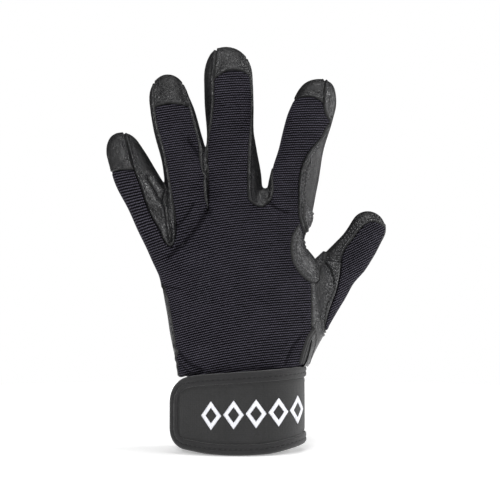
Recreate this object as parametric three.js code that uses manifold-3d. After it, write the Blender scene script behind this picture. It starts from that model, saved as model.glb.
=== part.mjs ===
// A left-hand sport glove as it stands when a hand fills it: a ribbed stretch back, leather fingertip caps,
// strips between the fingers, a leather palm that wraps round the edges, a two-part thumb, two sewn-on
// patches and a wide wrist strap with a bound edge. The glove is hollow and open at the wrist.
// +Z runs from the wrist to the fingertips, +X to the thumb, and -Y is the back of the hand.
// Lengths are in millimetres, angles in degrees, and the origin is the middle of the wrist opening.
import * as THREE from 'three';
import { mergeVertices } from 'three/addons/utils/BufferGeometryUtils.js';
import Module from 'manifold-3d';

const wasm = await Module();
wasm.setup();

// The hand form
const wall = 2.0;
const seamGap = 0.3;
const cuff = { height: 44.6, width: 64, depth: 46, centre: 1.0, topSlope: 0.09 };
const palm = { length: 96.2, width: 94, depth: 38, shape: 2.4, sides: 28, hollowSides: 22 };
const limbShape = 2.15;
const limbSides = 16;
const hollowSides = 12;
const domeSteps = 3;
const rootSet = -2.5; // how far a finger's root lies from the middle of the hand, towards its back
const curl = 10; // how far the longest finger leans over towards the palm
const curlStart = 113;
const curlLength = 124;

const little = { rootX: -33, rootZ: 95, length: 98, width: 27, depth: 23, lean: 23.1 };
const ring = { rootX: -25.5, rootZ: 107, length: 114.5, width: 27.4, depth: 24, lean: 9.2 };
const middle = { rootX: -1.7, rootZ: 107, length: 130.5, width: 29.6, depth: 25, lean: 2.7 };
const index = { rootX: 22.8, rootZ: 107, length: 113.2, width: 28.6, depth: 25, lean: -12.25 };
const thumb = { rootX: 27.05, rootZ: 59.4, length: 96, width: 30.4, depth: 27, lean: -35.4 };
const thumbRootY = 3;
const thumbTipY = 12;

// The seams
const sideSeamBehind = 2.0; // how far behind the widest line the back of the glove reaches
const thumbSeamY = 9;
const stripHalf = 0.6; // half the least width of a strip between two fingers

// The sewn-on pieces
const patch = { thickness: 1.4, reach: 9 };
const slit = { bindingWidth: 3.2, bindingThickness: 1.0, clearOfStrap: 0.9 };
const strap = {
  clearance: 1.7, // between the cuff and the strap, where the fastening patch lies
  thickness: 3.2,
  height: 46,
  width: 75,
  bindingWidth: 5,
  bindingThickness: 1.0,
  cornerRadius: 11,
  startAngle: 150,
  leaveAngle: -112,
  flapRadius: 62,
  flapLength: 29,
};
const hookPatch = { thickness: 1.1, before: 26, after: 6, margin: 9 }; // before and after the flap leaves

// Where the strap's edges lie: shares of half its width across, and of its height up from the rim.
const strapRows = [
  { across: -1.2, low: -0.03, high: 0.865 },
  { across: -0.85, low: -0.035, high: 0.87 },
  { across: -0.5, low: -0.07, high: 0.9 },
  { across: -0.1, low: -0.083, high: 0.925 },
  { across: 0.35, low: -0.07, high: 0.95 },
  { across: 0.75, low: 0.01, high: 0.97 },
  { across: 1.05, low: 0.07, high: 0.985 },
];

// Shares of the palm's length, width and depth. slope tilts a row up towards the thumb.
const palmRows = [
  { rise: 0.014, centre: 0.023, width: 0.83, depth: 1.3, slope: 0.09 },
  { rise: 0.055, centre: 0.028, width: 0.865, depth: 1.35, slope: 0.05 },
  { rise: 0.166, centre: 0.032, width: 0.926, depth: 1.22, slope: 0.04 },
  { rise: 0.29, centre: 0.032, width: 0.968, depth: 1.1, slope: 0.02 },
  { rise: 0.424, centre: 0.018, width: 0.99, depth: 1.02, slope: 0 },
  { rise: 0.537, centre: 0.0, width: 1.0, depth: 0.98, slope: 0 },
  { rise: 0.65, centre: -0.03, width: 1.0, depth: 0.95, slope: 0 },
  { rise: 0.732, centre: 0.005, width: 0.86, depth: 0.9, slope: 0 },
  { rise: 0.815, centre: 0.04, width: 0.77, depth: 0.84, slope: 0 },
  { rise: 0.897, centre: 0.085, width: 0.66, depth: 0.74, slope: 0 },
  { rise: 0.959, centre: 0.11, width: 0.53, depth: 0.62, slope: 0 },
  { rise: 1.031, centre: 0.145, width: 0.36, depth: 0.5, slope: 0 },
  { rise: 1.093, centre: 0.16, width: 0.2, depth: 0.3, slope: 0 },
];

// Shares of a finger's length and width. drift moves a section towards the thumb.
// The last row is where the rounded tip starts.
little.rows = [
  { along: 0.0, width: 0.9, drift: 0.03 },
  { along: 0.25, width: 1.0, drift: 0.03 },
  { along: 0.55, width: 1.0, drift: -0.07 },
  { along: 0.72, width: 0.93, drift: -0.11 },
  { along: 0.88, width: 0.8, drift: -0.09 },
];
ring.rows = [
  { along: 0.0, width: 0.92, drift: 0 },
  { along: 0.25, width: 0.97, drift: 0 },
  { along: 0.44, width: 0.97, drift: 0.05 },
  { along: 0.53, width: 1.0, drift: 0.07 },
  { along: 0.7, width: 0.98, drift: 0.02 },
  { along: 0.8, width: 0.94, drift: 0 },
  { along: 0.875, width: 0.87, drift: 0 },
];
middle.rows = [
  { along: 0.0, width: 1.0, drift: 0 },
  { along: 0.25, width: 1.08, drift: 0 },
  { along: 0.38, width: 1.07, drift: 0.03 },
  { along: 0.53, width: 1.01, drift: 0 },
  { along: 0.61, width: 0.95, drift: 0 },
  { along: 0.73, width: 0.99, drift: 0 },
  { along: 0.862, width: 0.97, drift: 0 },
];
index.rows = [
  { along: 0.0, width: 0.9, drift: 0 },
  { along: 0.25, width: 0.96, drift: 0 },
  { along: 0.45, width: 1.02, drift: -0.04 },
  { along: 0.63, width: 0.95, drift: -0.04 },
  { along: 0.76, width: 0.96, drift: 0 },
  { along: 0.865, width: 0.91, drift: 0.05 },
];
thumb.rows = [
  { along: 0.0, width: 1.21, drift: 0 },
  { along: 0.14, width: 1.13, drift: 0 },
  { along: 0.34, width: 1.0, drift: 0 },
  { along: 0.46, width: 0.94, drift: 0 },
  { along: 0.56, width: 0.82, drift: 0.01 },
  { along: 0.68, width: 0.77, drift: 0.045 },
  { along: 0.78, width: 0.735, drift: 0.075 },
  { along: 0.89, width: 0.71, drift: 0.045 },
];

// Seams along a finger: shares of its length, and across it of half its width.
// left and right bound the back of the finger, and capEdge is where its leather cap ends.
little.right = [
  { along: 1.06, across: 0.31 },
  { along: 0.986, across: 0.31 },
  { along: 0.872, across: 0.22 },
  { along: 0.758, across: 0.15 },
  { along: 0.646, across: 0.11 },
  { along: 0.569, across: 0.02 },
  { along: 0.511, across: -0.04 },
  { along: 0.445, across: -0.08 },
  { along: 0.388, across: -0.05 },
  { along: 0.341, across: -0.06 },
  { along: 0.297, across: -0.12 },
];
little.capEdge = [
  { along: 0.794, across: -1.2 },
  { along: 0.799, across: -0.9 },
  { along: 0.784, across: -0.41 },
  { along: 0.755, across: 0.15 },
];
ring.left = [
  { along: 0.2, across: -0.64 },
  { along: 0.34, across: -0.65 },
  { along: 0.44, across: -0.71 },
  { along: 0.6, across: -0.74 },
  { along: 0.8, across: -0.77 },
  { along: 0.88, across: -0.67 },
  { along: 1.05, across: -0.44 },
];
ring.right = [
  { along: 1.05, across: 0.52 },
  { along: 0.88, across: 0.73 },
  { along: 0.8, across: 0.79 },
  { along: 0.6, across: 0.8 },
  { along: 0.44, across: 0.79 },
  { along: 0.34, across: 0.76 },
];
ring.capEdge = [
  { along: 0.84, across: -0.72 },
  { along: 0.845, across: 0.0 },
  { along: 0.815, across: 0.78 },
];
middle.left = [
  { along: 0.31, across: -1.06 },
  { along: 0.43, across: -1.02 },
  { along: 0.527, across: -0.97 },
  { along: 0.605, across: -0.86 },
  { along: 0.664, across: -0.75 },
  { along: 0.755, across: -0.63 },
  { along: 0.847, across: -0.59 },
  { along: 0.966, across: -0.46 },
  { along: 1.05, across: -0.42 },
];
middle.right = [
  { along: 1.05, across: 0.6 },
  { along: 0.969, across: 0.72 },
  { along: 0.858, across: 0.86 },
  { along: 0.747, across: 0.89 },
  { along: 0.655, across: 0.83 },
  { along: 0.518, across: 0.69 },
  { along: 0.426, across: 0.58 },
  { along: 0.334, across: 0.54 },
  { along: 0.288, across: 0.58 },
];
middle.capEdge = [
  { along: 0.847, across: -0.59 },
  { along: 0.868, across: -0.3 },
  { along: 0.883, across: 0 },
  { along: 0.884, across: 0.28 },
  { along: 0.877, across: 0.6 },
  { along: 0.858, across: 0.86 },
];
index.left = [
  { along: 0.36, across: -0.8 },
  { along: 0.44, across: -0.9 },
  { along: 0.6, across: -0.94 },
  { along: 0.8, across: -0.93 },
];
index.right = [
  { along: 1.05, across: 0.1 },
  { along: 0.992, across: 0.21 },
  { along: 0.939, across: 0.26 },
  { along: 0.876, across: 0.33 },
  { along: 0.836, across: 0.47 },
  { along: 0.808, across: 0.67 },
  { along: 0.793, across: 0.84 },
  { along: 0.743, across: 0.75 },
  { along: 0.698, across: 0.69 },
  { along: 0.655, across: 0.53 },
  { along: 0.594, across: 0.3 },
  { along: 0.548, across: 0.21 },
  { along: 0.498, across: 0.17 },
  { along: 0.402, across: 0.23 },
  { along: 0.351, across: 0.3 },
  { along: 0.288, across: 0.38 },
  { along: 0.239, across: 0.53 },
  { along: 0.19, across: 0.75 },
  { along: 0.13, across: 0.98 },
];
index.capEdge = [
  { along: 0.86, across: -0.98 },
  { along: 0.893, across: -0.4 },
  { along: 0.895, across: -0.1 },
  { along: 0.876, across: 0.33 },
];
// The gusset is where the thumb is set into the palm, and the welt bounds its ribbed back.
thumb.gusset = [
  { along: 0.62, across: -0.95 },
  { along: 0.558, across: -0.85 },
  { along: 0.549, across: -0.5 },
  { along: 0.536, across: -0.2 },
  { along: 0.503, across: 0.05 },
  { along: 0.476, across: 0.23 },
  { along: 0.442, across: 0.34 },
  { along: 0.39, across: 0.42 },
  { along: 0.335, across: 0.48 },
  { along: 0.267, across: 0.69 },
  { along: 0.204, across: 0.95 },
  { along: 0.18, across: 1.25 },
];
thumb.welt = [
  { along: 0.955, across: 1.1 },
  { along: 0.953, across: 0.23 },
  { along: 0.942, across: -0.01 },
  { along: 0.91, across: -0.16 },
  { along: 0.868, across: -0.27 },
  { along: 0.765, across: -0.34 },
  { along: 0.708, across: -0.33 },
  { along: 0.648, across: -0.22 },
  { along: 0.571, across: 0.1 },
  { along: 0.514, across: 0.29 },
  { along: 0.442, across: 0.48 },
  { along: 0.358, across: 0.62 },
  { along: 0.277, across: 0.78 },
  { along: 0.219, across: 0.95 },
  { along: 0.2, across: 1.25 },
];

// Seams on the palm: shares of its length from the cuff up, and across it of half its width.
const webs = {
  littleRing: { rise: 0.738, across: -0.862 },
  ringMiddle: { rise: 0.963, across: -0.398 },
  middleIndex: { rise: 0.985, across: 0.28 },
};
const leftWrap = [
  { rise: 0.547, across: -1.06 },
  { rise: 0.485, across: -0.95 },
  { rise: 0.28, across: -0.86 },
  { rise: 0.094, across: -0.8 },
  { rise: -0.05, across: -0.77 },
];
const rightWrap = [
  { rise: 0.65, across: 0.88 },
  { rise: 0.485, across: 0.905 },
  { rise: 0.259, across: 0.905 },
];
// The slit at the thumb side of the wrist, from its top down: the left edge, then the right edge.
const slitEdges = [
  { rise: 0.228, left: 0.93, right: 0.95 },
  { rise: 0.033, left: 0.79, right: 0.87 },
  { rise: -0.029, left: 0.7, right: 0.78 },
  { rise: -0.091, left: 0.62, right: 0.67 },
  { rise: -0.605, left: 0.6, right: 0.63 },
];
// The padded patch in the crook of the thumb and the smaller one at the root of the index finger.
const crookOutline = [
  { rise: 0.893, across: 0.745 },
  { rise: 0.856, across: 0.69 },
  { rise: 0.804, across: 0.645 },
  { rise: 0.738, across: 0.635 },
  { rise: 0.676, across: 0.65 },
  { rise: 0.614, across: 0.71 },
  { rise: 0.563, across: 0.8 },
  { rise: 0.529, across: 0.9 },
  { rise: 0.525, across: 0.945 },
  { rise: 0.537, across: 0.995 },
  { rise: 0.57, across: 1.02 },
  { rise: 0.619, across: 1.035 },
  { rise: 0.657, across: 1.09 },
  { rise: 0.713, across: 1.12 },
  { rise: 0.738, across: 0.97 },
  { rise: 0.763, across: 0.9 },
  { rise: 0.788, across: 0.817 },
  { rise: 0.846, across: 0.775 },
];
const sideOutline = [
  { rise: 1.031, across: 0.79 },
  { rise: 0.998, across: 0.88 },
  { rise: 0.964, across: 0.935 },
  { rise: 0.954, across: 1.2 },
  { rise: 0.794, across: 1.2 },
  { rise: 0.784, across: 0.885 },
  { rise: 0.856, across: 0.83 },
  { rise: 0.938, across: 0.79 },
];

const fingers = [little, ring, middle, index];
const far = 150; // beyond every outline of the glove
const front = -70; // beyond the back of the hand
const rear = 70; // beyond the palm

// Closed solids from rings of points

function solidOf(geometry) {
  geometry.deleteAttribute('normal');
  geometry.deleteAttribute('uv');
  const merged = mergeVertices(geometry, 1e-4);
  const triVerts = new Uint32Array(merged.index.array);
  const vertProperties = merged.attributes.position.array;
  return new wasm.Manifold(new wasm.Mesh({ numProp: 3, vertProperties, triVerts }));
}

// Skins a list of rings, each of as many points, and closes both ends with a fan.
function skin(rings) {
  const sides = rings[0].length;
  const points = rings.flat();
  const faces = [];
  for (let i = 0; i + 1 < rings.length; i++) {
    for (let j = 0; j < sides; j++) {
      const a = i * sides + j;
      const b = i * sides + ((j + 1) % sides);
      faces.push(a, b, b + sides, a, b + sides, a + sides);
    }
  }
  for (const end of [0, rings.length - 1]) {
    const centre = new THREE.Vector3();
    rings[end].forEach((point) => centre.addScaledVector(point, 1 / sides));
    points.push(centre);
    for (let j = 0; j < sides; j++) {
      const a = end * sides + j;
      const b = end * sides + ((j + 1) % sides);
      faces.push(...(end === 0 ? [b, a, points.length - 1] : [a, b, points.length - 1]));
    }
  }
  const geometry = new THREE.BufferGeometry().setFromPoints(points);
  geometry.setIndex(faces);
  return solidOf(geometry);
}

const power = (value, exponent) => Math.sign(value) * Math.abs(value) ** exponent;

// The value of a column of a table between its rows, along the column named by key
function between(rows, key, at, column) {
  const after = rows.findIndex((row) => row[key] >= at);
  if (after < 0) return rows[rows.length - 1][column];
  if (after === 0) return rows[0][column];
  const [low, high] = [rows[after - 1], rows[after]];
  const share = (at - low[key]) / (high[key] - low[key]);
  return low[column] + share * (high[column] - low[column]);
}

// How far a finger's middle lies behind the middle of the hand at a height, as it curls to the palm
const leanBack = (z) => rootSet + curl * Math.max(0, (z - curlStart) / curlLength) ** 1.7;

// A place on the front view of a finger: how far along it, and how far across it to the thumb
function onLimb(limb, along, across) {
  const lean = THREE.MathUtils.degToRad(limb.lean);
  const drift = between(limb.rows, 'along', along, 'drift') * limb.width;
  const aside = drift + across * limb.width / 2;
  return new THREE.Vector2(
    limb.rootX - Math.sin(lean) * along * limb.length + Math.cos(lean) * aside,
    limb.rootZ + Math.cos(lean) * along * limb.length + Math.sin(lean) * aside,
  );
}

const seamOn = (limb, rows) => rows.map((row) => onLimb(limb, row.along, row.across));
const onPalm = (rise, across) => new THREE.Vector2(across * palm.width / 2, cuff.height + rise * palm.length);
const seamOnPalm = (rows) => rows.map((row) => onPalm(row.rise, row.across));

// A finger or thumb, grown by an offset: negative for the hollow in it
function limbForm(limb, offset) {
  const sides = offset < 0 ? hollowSides : limbSides;
  const lean = THREE.MathUtils.degToRad(limb.lean);
  const last = limb.rows[limb.rows.length - 1];
  const stations = limb.rows.map((row) => ({ along: row.along, scale: row.width, shrink: 1 }));
  const domeShare = 1 - last.along + offset / limb.length;
  for (let k = 1; k <= domeSteps; k++) {
    const angle = (k / (domeSteps + 0.22)) * Math.PI / 2;
    stations.push({ along: last.along + Math.sin(angle) * domeShare, scale: last.width, shrink: Math.cos(angle) });
  }
  return skin(stations.map(({ along, scale, shrink }) => {
    const centre = onLimb(limb, along, 0);
    const thumbY = thumbRootY + (thumbTipY - thumbRootY) * along;
    const y = limb === thumb ? thumbY : leanBack(centre.y);
    const halfWidth = (limb.width / 2 * scale + offset) * shrink;
    const halfDepth = (limb.depth / 2 * scale + offset) * shrink;
    return Array.from({ length: sides }, (_, j) => {
      const angle = (2 * Math.PI * j) / sides;
      const side = power(Math.cos(angle), 2 / limbShape) * halfWidth;
      const deep = power(Math.sin(angle), 2 / limbShape) * halfDepth;
      return new THREE.Vector3(centre.x + Math.cos(lean) * side, y + deep, centre.y + Math.sin(lean) * side);
    });
  }));
}

// The palm and cuff, grown by an offset. Below the rim it can run on, so that the hollow opens there.
function palmForm(offset, below) {
  const sides = offset < 0 ? palm.hollowSides : palm.sides;
  const cuffRow = { centre: cuff.centre, halfWidth: cuff.width / 2, halfDepth: cuff.depth / 2 };
  const rows = [
    { ...cuffRow, z: -below, slope: 0 },
    { ...cuffRow, z: cuff.height, slope: cuff.topSlope },
    ...palmRows.map((row) => ({
      z: cuff.height + row.rise * palm.length + (row === palmRows[palmRows.length - 1] ? offset : 0),
      centre: row.centre * palm.width,
      halfWidth: row.width * palm.width / 2,
      halfDepth: row.depth * palm.depth / 2,
      slope: row.slope,
    })),
  ];
  return skin(rows.map((row) => Array.from({ length: sides }, (_, j) => {
    const angle = (2 * Math.PI * j) / sides;
    const x = row.centre + power(Math.cos(angle), 2 / palm.shape) * (row.halfWidth + offset);
    const y = power(Math.sin(angle), 2 / palm.shape) * (row.halfDepth + offset);
    return new THREE.Vector3(x, y, row.z + row.slope * (x - row.centre));
  })));
}

function handForm(offset, below = 0) {
  return [little, ring, middle, index, thumb]
    .reduce((form, limb) => form.add(limbForm(limb, offset)), palmForm(offset, below));
}

// Cutting the hand form along outlines drawn on its front view

// An outline moved outwards by a distance, with pointed corners
function grown(outline, distance) {
  const points = THREE.ShapeUtils.area(outline) < 0 ? [...outline].reverse() : outline;
  return points.map((point, i) => {
    const before = points[(i + points.length - 1) % points.length];
    const after = points[(i + 1) % points.length];
    const into = point.clone().sub(before).normalize();
    const out = after.clone().sub(point).normalize();
    const normal = new THREE.Vector2(into.y + out.y, -into.x - out.x).normalize();
    const stretch = 1 / Math.max(0.4, normal.dot(new THREE.Vector2(into.y, -into.x)));
    return point.clone().addScaledVector(normal, distance * stretch);
  });
}

// The solid behind an outline on the front view, from one depth to another
function prism(outline, from = front, to = rear) {
  const geometry = new THREE.ExtrudeGeometry(new THREE.Shape(outline), { depth: to - from, bevelEnabled: false });
  geometry.rotateX(Math.PI / 2).translate(0, to, 0);
  return solidOf(geometry);
}

// Everything in front of the line down the side of the fingers, moved back by a distance
function backHalf(behind) {
  const heights = Array.from({ length: 11 }, (_, i) => curlStart + (i / 10) * curlLength * 1.05);
  const profile = new THREE.Shape([
    new THREE.Vector2(front, -far),
    new THREE.Vector2(leanBack(0) + behind, -far),
    ...heights.map((z) => new THREE.Vector2(leanBack(z) + behind, z)),
    new THREE.Vector2(front, heights[10]),
  ]);
  const geometry = new THREE.ExtrudeGeometry(profile, { depth: 2 * far, bevelEnabled: false });
  const [across, deep, up] = [0, 1, 2].map((axis) => new THREE.Vector3().setComponent(axis, 1));
  geometry.applyMatrix4(new THREE.Matrix4().makeBasis(deep, up, across)).translate(-far, 0, 0);
  return solidOf(geometry);
}

// The largest body of a cut, without the slivers that a slanting seam leaves
function mainBody(solid) {
  return solid.decompose().reduce((best, body) => (body.volume() > best.volume() ? body : best));
}

// The leather cap over a fingertip, between the seams on either side of the back of the finger
function capOutline(finger) {
  const rightEnd = finger.capEdge[finger.capEdge.length - 1].along;
  const rightSeam = finger.right.filter((row) => row.along > rightEnd).reverse();
  const rightSide = finger === index ? rightSeam : [{ along: rightEnd, across: 1.4 }, { along: 1.12, across: 1.4 }];
  return seamOn(finger, [
    { along: finger.capEdge[0].along, across: -1.4 },
    ...finger.capEdge,
    ...rightSide,
    { along: 1.12, across: -1.4 },
  ]);
}

// The strip between two fingers, from one tip down to the web and up to the other tip. Each seam keeps
// to its own side of the line from the web to the middle of the tips.
function stripOutline(left, web, right) {
  const root = onPalm(web.rise, web.across);
  const up = onLimb(left, 1.1, 0).add(onLimb(right, 1.1, 0)).multiplyScalar(0.5).sub(root).normalize();
  const aside = new THREE.Vector2(up.y, -up.x);
  const keptOn = (side) => (point) => {
    const short = stripHalf - side * point.clone().sub(root).dot(aside);
    return short > 0 ? point.addScaledVector(aside, side * short) : point;
  };
  return [...seamOn(left, left.right).map(keptOn(-1)), root, ...seamOn(right, right.left).map(keptOn(1))];
}

const thumbOutline = [
  ...seamOn(thumb, thumb.gusset),
  onLimb(thumb, 0.1, 4.5),
  onLimb(thumb, 1.4, 4.5),
  onLimb(thumb, 1.4, -1.6),
];
const thumbBackOutline = [
  ...seamOn(thumb, thumb.welt),
  onLimb(thumb, 0.15, 4.5),
  onLimb(thumb, 0.91, 4.5),
];
const slitFoot = strapRows[6].high * strap.height + strap.bindingThickness + slit.clearOfStrap;
const slitOutline = seamOnPalm([
  ...slitEdges.map((row) => ({ rise: row.rise, across: row.left })),
  ...slitEdges.map((row) => ({ rise: row.rise, across: row.right })).reverse(),
]);
// The back of the glove runs from the little finger's edge to the seam by the index finger.
const backOutline = [
  ...seamOn(index, [{ along: 1.3, across: 0.3 }, ...index.right]),
  ...seamOnPalm(rightWrap),
  ...seamOnPalm(slitEdges.map((row) => ({ rise: row.rise, across: row.left }))),
  new THREE.Vector2(cuff.centre - cuff.width * 0.42, -far),
  new THREE.Vector2(cuff.centre - cuff.width * 0.42, cuff.height / 2),
  ...seamOnPalm(leftWrap).reverse(),
  onPalm(leftWrap[0].rise, -4),
  new THREE.Vector2(-far, 2 * far),
];

// Takes a piece out of what is left of the glove's wall, and a seam's width round it with it.
const pieces = {};
let rest = handForm(0).subtract(handForm(-wall, 10));
function take(name, exact, cleared) {
  pieces[name] = mainBody(rest.intersect(exact));
  rest = rest.subtract(cleared);
}
const upToSide = backHalf(sideSeamBehind);
const pastSide = backHalf(sideSeamBehind + seamGap);
function takeBack(name, outline) {
  take(name, prism(outline).intersect(upToSide), prism(grown(outline, seamGap)).intersect(pastSide));
}

rest = rest.subtract(prism(slitOutline, front, -cuff.depth / 4));
takeBack('fourchette_little_ring', stripOutline(little, webs.littleRing, ring));
takeBack('fourchette_ring_middle', stripOutline(ring, webs.ringMiddle, middle));
takeBack('fourchette_middle_index', stripOutline(middle, webs.middleIndex, index));
takeBack('cap_little', capOutline(little));
takeBack('cap_ring', capOutline(ring));
takeBack('cap_middle', capOutline(middle));
takeBack('cap_index', capOutline(index));
take('thumb_back', prism(thumbBackOutline, front, thumbSeamY), prism(grown(thumbBackOutline, seamGap), front, thumbSeamY + seamGap));
take('thumb_front', prism(thumbOutline), prism(grown(thumbOutline, seamGap)));
takeBack('back_panel', backOutline);
pieces.palm_panel = mainBody(rest);

// The sewn-on pieces

// A layer over the hand form, from one distance above it to another, within an outline
function overlay(outline, low, high, to) {
  return handForm(high, -low).subtract(handForm(low)).intersect(prism(outline, front, to));
}
pieces.crotch_patch = mainBody(
  overlay(seamOnPalm(crookOutline), seamGap, seamGap + patch.thickness, patch.reach),
);
pieces.index_side_patch = mainBody(
  overlay(seamOnPalm(sideOutline), seamGap, seamGap + patch.thickness, patch.reach / 3),
);
pieces.slit_binding = mainBody(
  overlay(grown(slitOutline, slit.bindingWidth), seamGap, seamGap + slit.bindingThickness, 0)
    .subtract(prism(slitOutline))
    .subtract(prism([[-far, -far], [far, -far], [far, slitFoot], [-far, slitFoot]].map((p) => new THREE.Vector2(...p)))),
);

// The strap

// Points along the strap's inner face, from its sewn end on the palm side round the thumb side to
// the back of the wrist, where the loose end leaves the cuff on a wider curve
function strapPath() {
  const half = new THREE.Vector2(cuff.width / 2 + strap.clearance, cuff.depth / 2 + strap.clearance);
  const onCuff = (degrees) => {
    const angle = THREE.MathUtils.degToRad(degrees);
    const side = power(Math.cos(angle), 2 / palm.shape) * half.x;
    return new THREE.Vector2(cuff.centre + side, power(Math.sin(angle), 2 / palm.shape) * half.y);
  };
  const points = [];
  for (let degrees = strap.startAngle; degrees >= strap.leaveAngle; degrees -= 2) points.push(onCuff(degrees));
  const leaveLength = pathLength(points);
  const steps = 16;
  const turn = -(strap.flapLength + 3) / strap.flapRadius / steps;
  const heading = points[points.length - 1].clone().sub(points[points.length - 2]).normalize();
  for (let i = 0; i < steps; i++) {
    heading.rotateAround(new THREE.Vector2(), turn);
    points.push(points[points.length - 1].clone().addScaledVector(heading, (strap.flapLength + 3) / steps));
  }
  return { points, leaveLength };
}

function pathLength(points) {
  return points.reduce((sum, point, i) => sum + (i ? point.distanceTo(points[i - 1]) : 0), 0);
}

const path = strapPath();
const strapLength = path.leaveLength + strap.flapLength;
const strapStations = 18;

// The place on the strap's inner face at a distance along it, and the way out from the cuff there
function onStrap(distance) {
  let left = distance;
  let i = 0;
  while (i < path.points.length - 2 && left > path.points[i].distanceTo(path.points[i + 1])) {
    left -= path.points[i].distanceTo(path.points[i + 1]);
    i += 1;
  }
  const heading = path.points[i + 1].clone().sub(path.points[i]).normalize();
  return { point: path.points[i].clone().addScaledVector(heading, left), out: new THREE.Vector2(-heading.y, heading.x) };
}

// A band along the strap, its edges drawn in by an inset, between two distances from the inner face
function band(inset, near, beyond, start = 0, end = strapLength - inset, radius = strap.cornerRadius - inset) {
  const flat = Array.from({ length: strapStations }, (_, i) => (i / (strapStations - 1)) * (strapLength - strap.cornerRadius));
  const straight = [start, ...flat.filter((distance) => distance > start && distance < end - radius), end - radius];
  const corner = radius > 0 ? [0.25, 0.5, 0.75, 1].map((share) => end - radius + radius * Math.sin(share * Math.PI / 2)) : [];
  return skin([...straight, ...corner].map((distance) => {
    const { point, out } = onStrap(distance);
    const across = (point.x - cuff.centre) / (strap.width / 2);
    const past = Math.max(0, distance - (end - radius));
    const trim = inset + (past ? radius - Math.sqrt(Math.max(0, radius ** 2 - past ** 2)) : 0);
    const low = between(strapRows, 'across', across, 'low') * strap.height + trim;
    const high = between(strapRows, 'across', across, 'high') * strap.height - trim;
    const [inner, outer] = [near, beyond].map((distanceOut) => point.clone().addScaledVector(out, distanceOut));
    return [
      new THREE.Vector3(inner.x, inner.y, low),
      new THREE.Vector3(outer.x, outer.y, low),
      new THREE.Vector3(outer.x, outer.y, high),
      new THREE.Vector3(inner.x, inner.y, high),
    ];
  }));
}

const bound = seamGap + strap.bindingThickness;
pieces.wrist_strap = band(0, 0, strap.thickness);
pieces.strap_binding = band(-bound, -bound, strap.thickness + bound, 0)
  .subtract(band(-seamGap, -seamGap, strap.thickness + seamGap, -2))
  .subtract(band(strap.bindingWidth, -far / 10, strap.thickness + far / 10, -4));
pieces.hook_patch = band(
  hookPatch.margin,
  -seamGap - hookPatch.thickness,
  -seamGap,
  path.leaveLength - hookPatch.before,
  path.leaveLength + hookPatch.after,
  0,
);

// The meshes that are handed on

const finishes = {
  knit: { color: 0x25222c, roughness: 0.8 },
  leather: { color: 0x1d1c1f, roughness: 0.5 },
  leatherPatch: { color: 0x252427, roughness: 0.45 },
  neoprene: { color: 0x343436, roughness: 0.85 },
  binding: { color: 0x1f1f21, roughness: 0.75 },
  hook: { color: 0x151517, roughness: 0.9 },
};
const finishOf = {
  back_panel: 'knit',
  thumb_back: 'knit',
  crotch_patch: 'leatherPatch',
  index_side_patch: 'leatherPatch',
  slit_binding: 'binding',
  strap_binding: 'binding',
  wrist_strap: 'neoprene',
  hook_patch: 'hook',
};

const glove = new THREE.Group();
glove.name = 'glove';
for (const [name, solid] of Object.entries(pieces)) {
  const { vertProperties, triVerts } = solid.getMesh();
  const geometry = new THREE.BufferGeometry();
  geometry.setAttribute('position', new THREE.BufferAttribute(vertProperties, 3));
  geometry.setIndex(new THREE.BufferAttribute(triVerts, 1));
  geometry.translate(-cuff.centre, 0, 0); // the origin is the middle of the wrist opening
  const faceted = geometry.toNonIndexed();
  faceted.computeVertexNormals();
  const finish = finishes[finishOf[name] ?? 'leather'];
  const mesh = new THREE.Mesh(faceted, new THREE.MeshStandardMaterial({ ...finish, metalness: 0 }));
  mesh.name = name;
  glove.add(mesh);
}

export default glove;
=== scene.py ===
# The looks of a left-hand sport glove: ribbed back, leather palm and fingertips, sewn-on patches and strap.
# Shapes are worked out in millimetres in the model's own frame and stored in metres.
import math
from types import SimpleNamespace as Values
import bpy
import bmesh
import numpy as np
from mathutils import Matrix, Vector
from mathutils.bvhtree import BVHTree
from mathutils.kdtree import KDTree


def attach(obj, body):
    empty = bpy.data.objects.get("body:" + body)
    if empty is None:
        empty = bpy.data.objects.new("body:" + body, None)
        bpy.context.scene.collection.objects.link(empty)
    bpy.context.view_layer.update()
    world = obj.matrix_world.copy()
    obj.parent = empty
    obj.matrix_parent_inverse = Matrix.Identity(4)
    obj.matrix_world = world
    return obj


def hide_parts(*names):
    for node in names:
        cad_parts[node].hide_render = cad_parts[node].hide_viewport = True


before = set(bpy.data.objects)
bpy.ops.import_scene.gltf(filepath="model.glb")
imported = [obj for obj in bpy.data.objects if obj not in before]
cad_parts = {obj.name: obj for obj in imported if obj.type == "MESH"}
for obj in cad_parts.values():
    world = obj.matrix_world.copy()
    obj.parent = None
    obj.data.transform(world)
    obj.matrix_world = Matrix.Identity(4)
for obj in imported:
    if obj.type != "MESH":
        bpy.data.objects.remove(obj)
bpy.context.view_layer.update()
MM = 0.001

# The hand form, with the same values as the part's source
CUFF = Values(height=44.6, width=64, depth=46, centre=1.0, slope=0.09)
PALM = Values(length=96.2, width=94, depth=38, shape=2.4)
LIMB_SHAPE = 2.15
ROOT_SET = -2.5
CURL = 10
CURL_START = 113
CURL_LENGTH = 124
THUMB_Y = (3, 12)
SIDE_SEAM = 2.0
THUMB_SEAM = 9
LITTLE = Values(x=-33, z=95, length=98, width=27, depth=23, lean=23.1)
RING = Values(x=-25.5, z=107, length=114.5, width=27.4, depth=24, lean=9.2)
MIDDLE = Values(x=-1.7, z=107, length=130.5, width=29.6, depth=25, lean=2.7)
INDEX = Values(x=22.8, z=107, length=113.2, width=28.6, depth=25, lean=-12.25)
THUMB = Values(x=27.05, z=59.4, length=96, width=30.4, depth=27, lean=-35.4)
LITTLE.rows = [
    (0, 0.9, 0.03), (0.25, 1, 0.03), (0.55, 1, -0.07), (0.72, 0.93, -0.11), (0.88, 0.8, -0.09),
]
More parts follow.
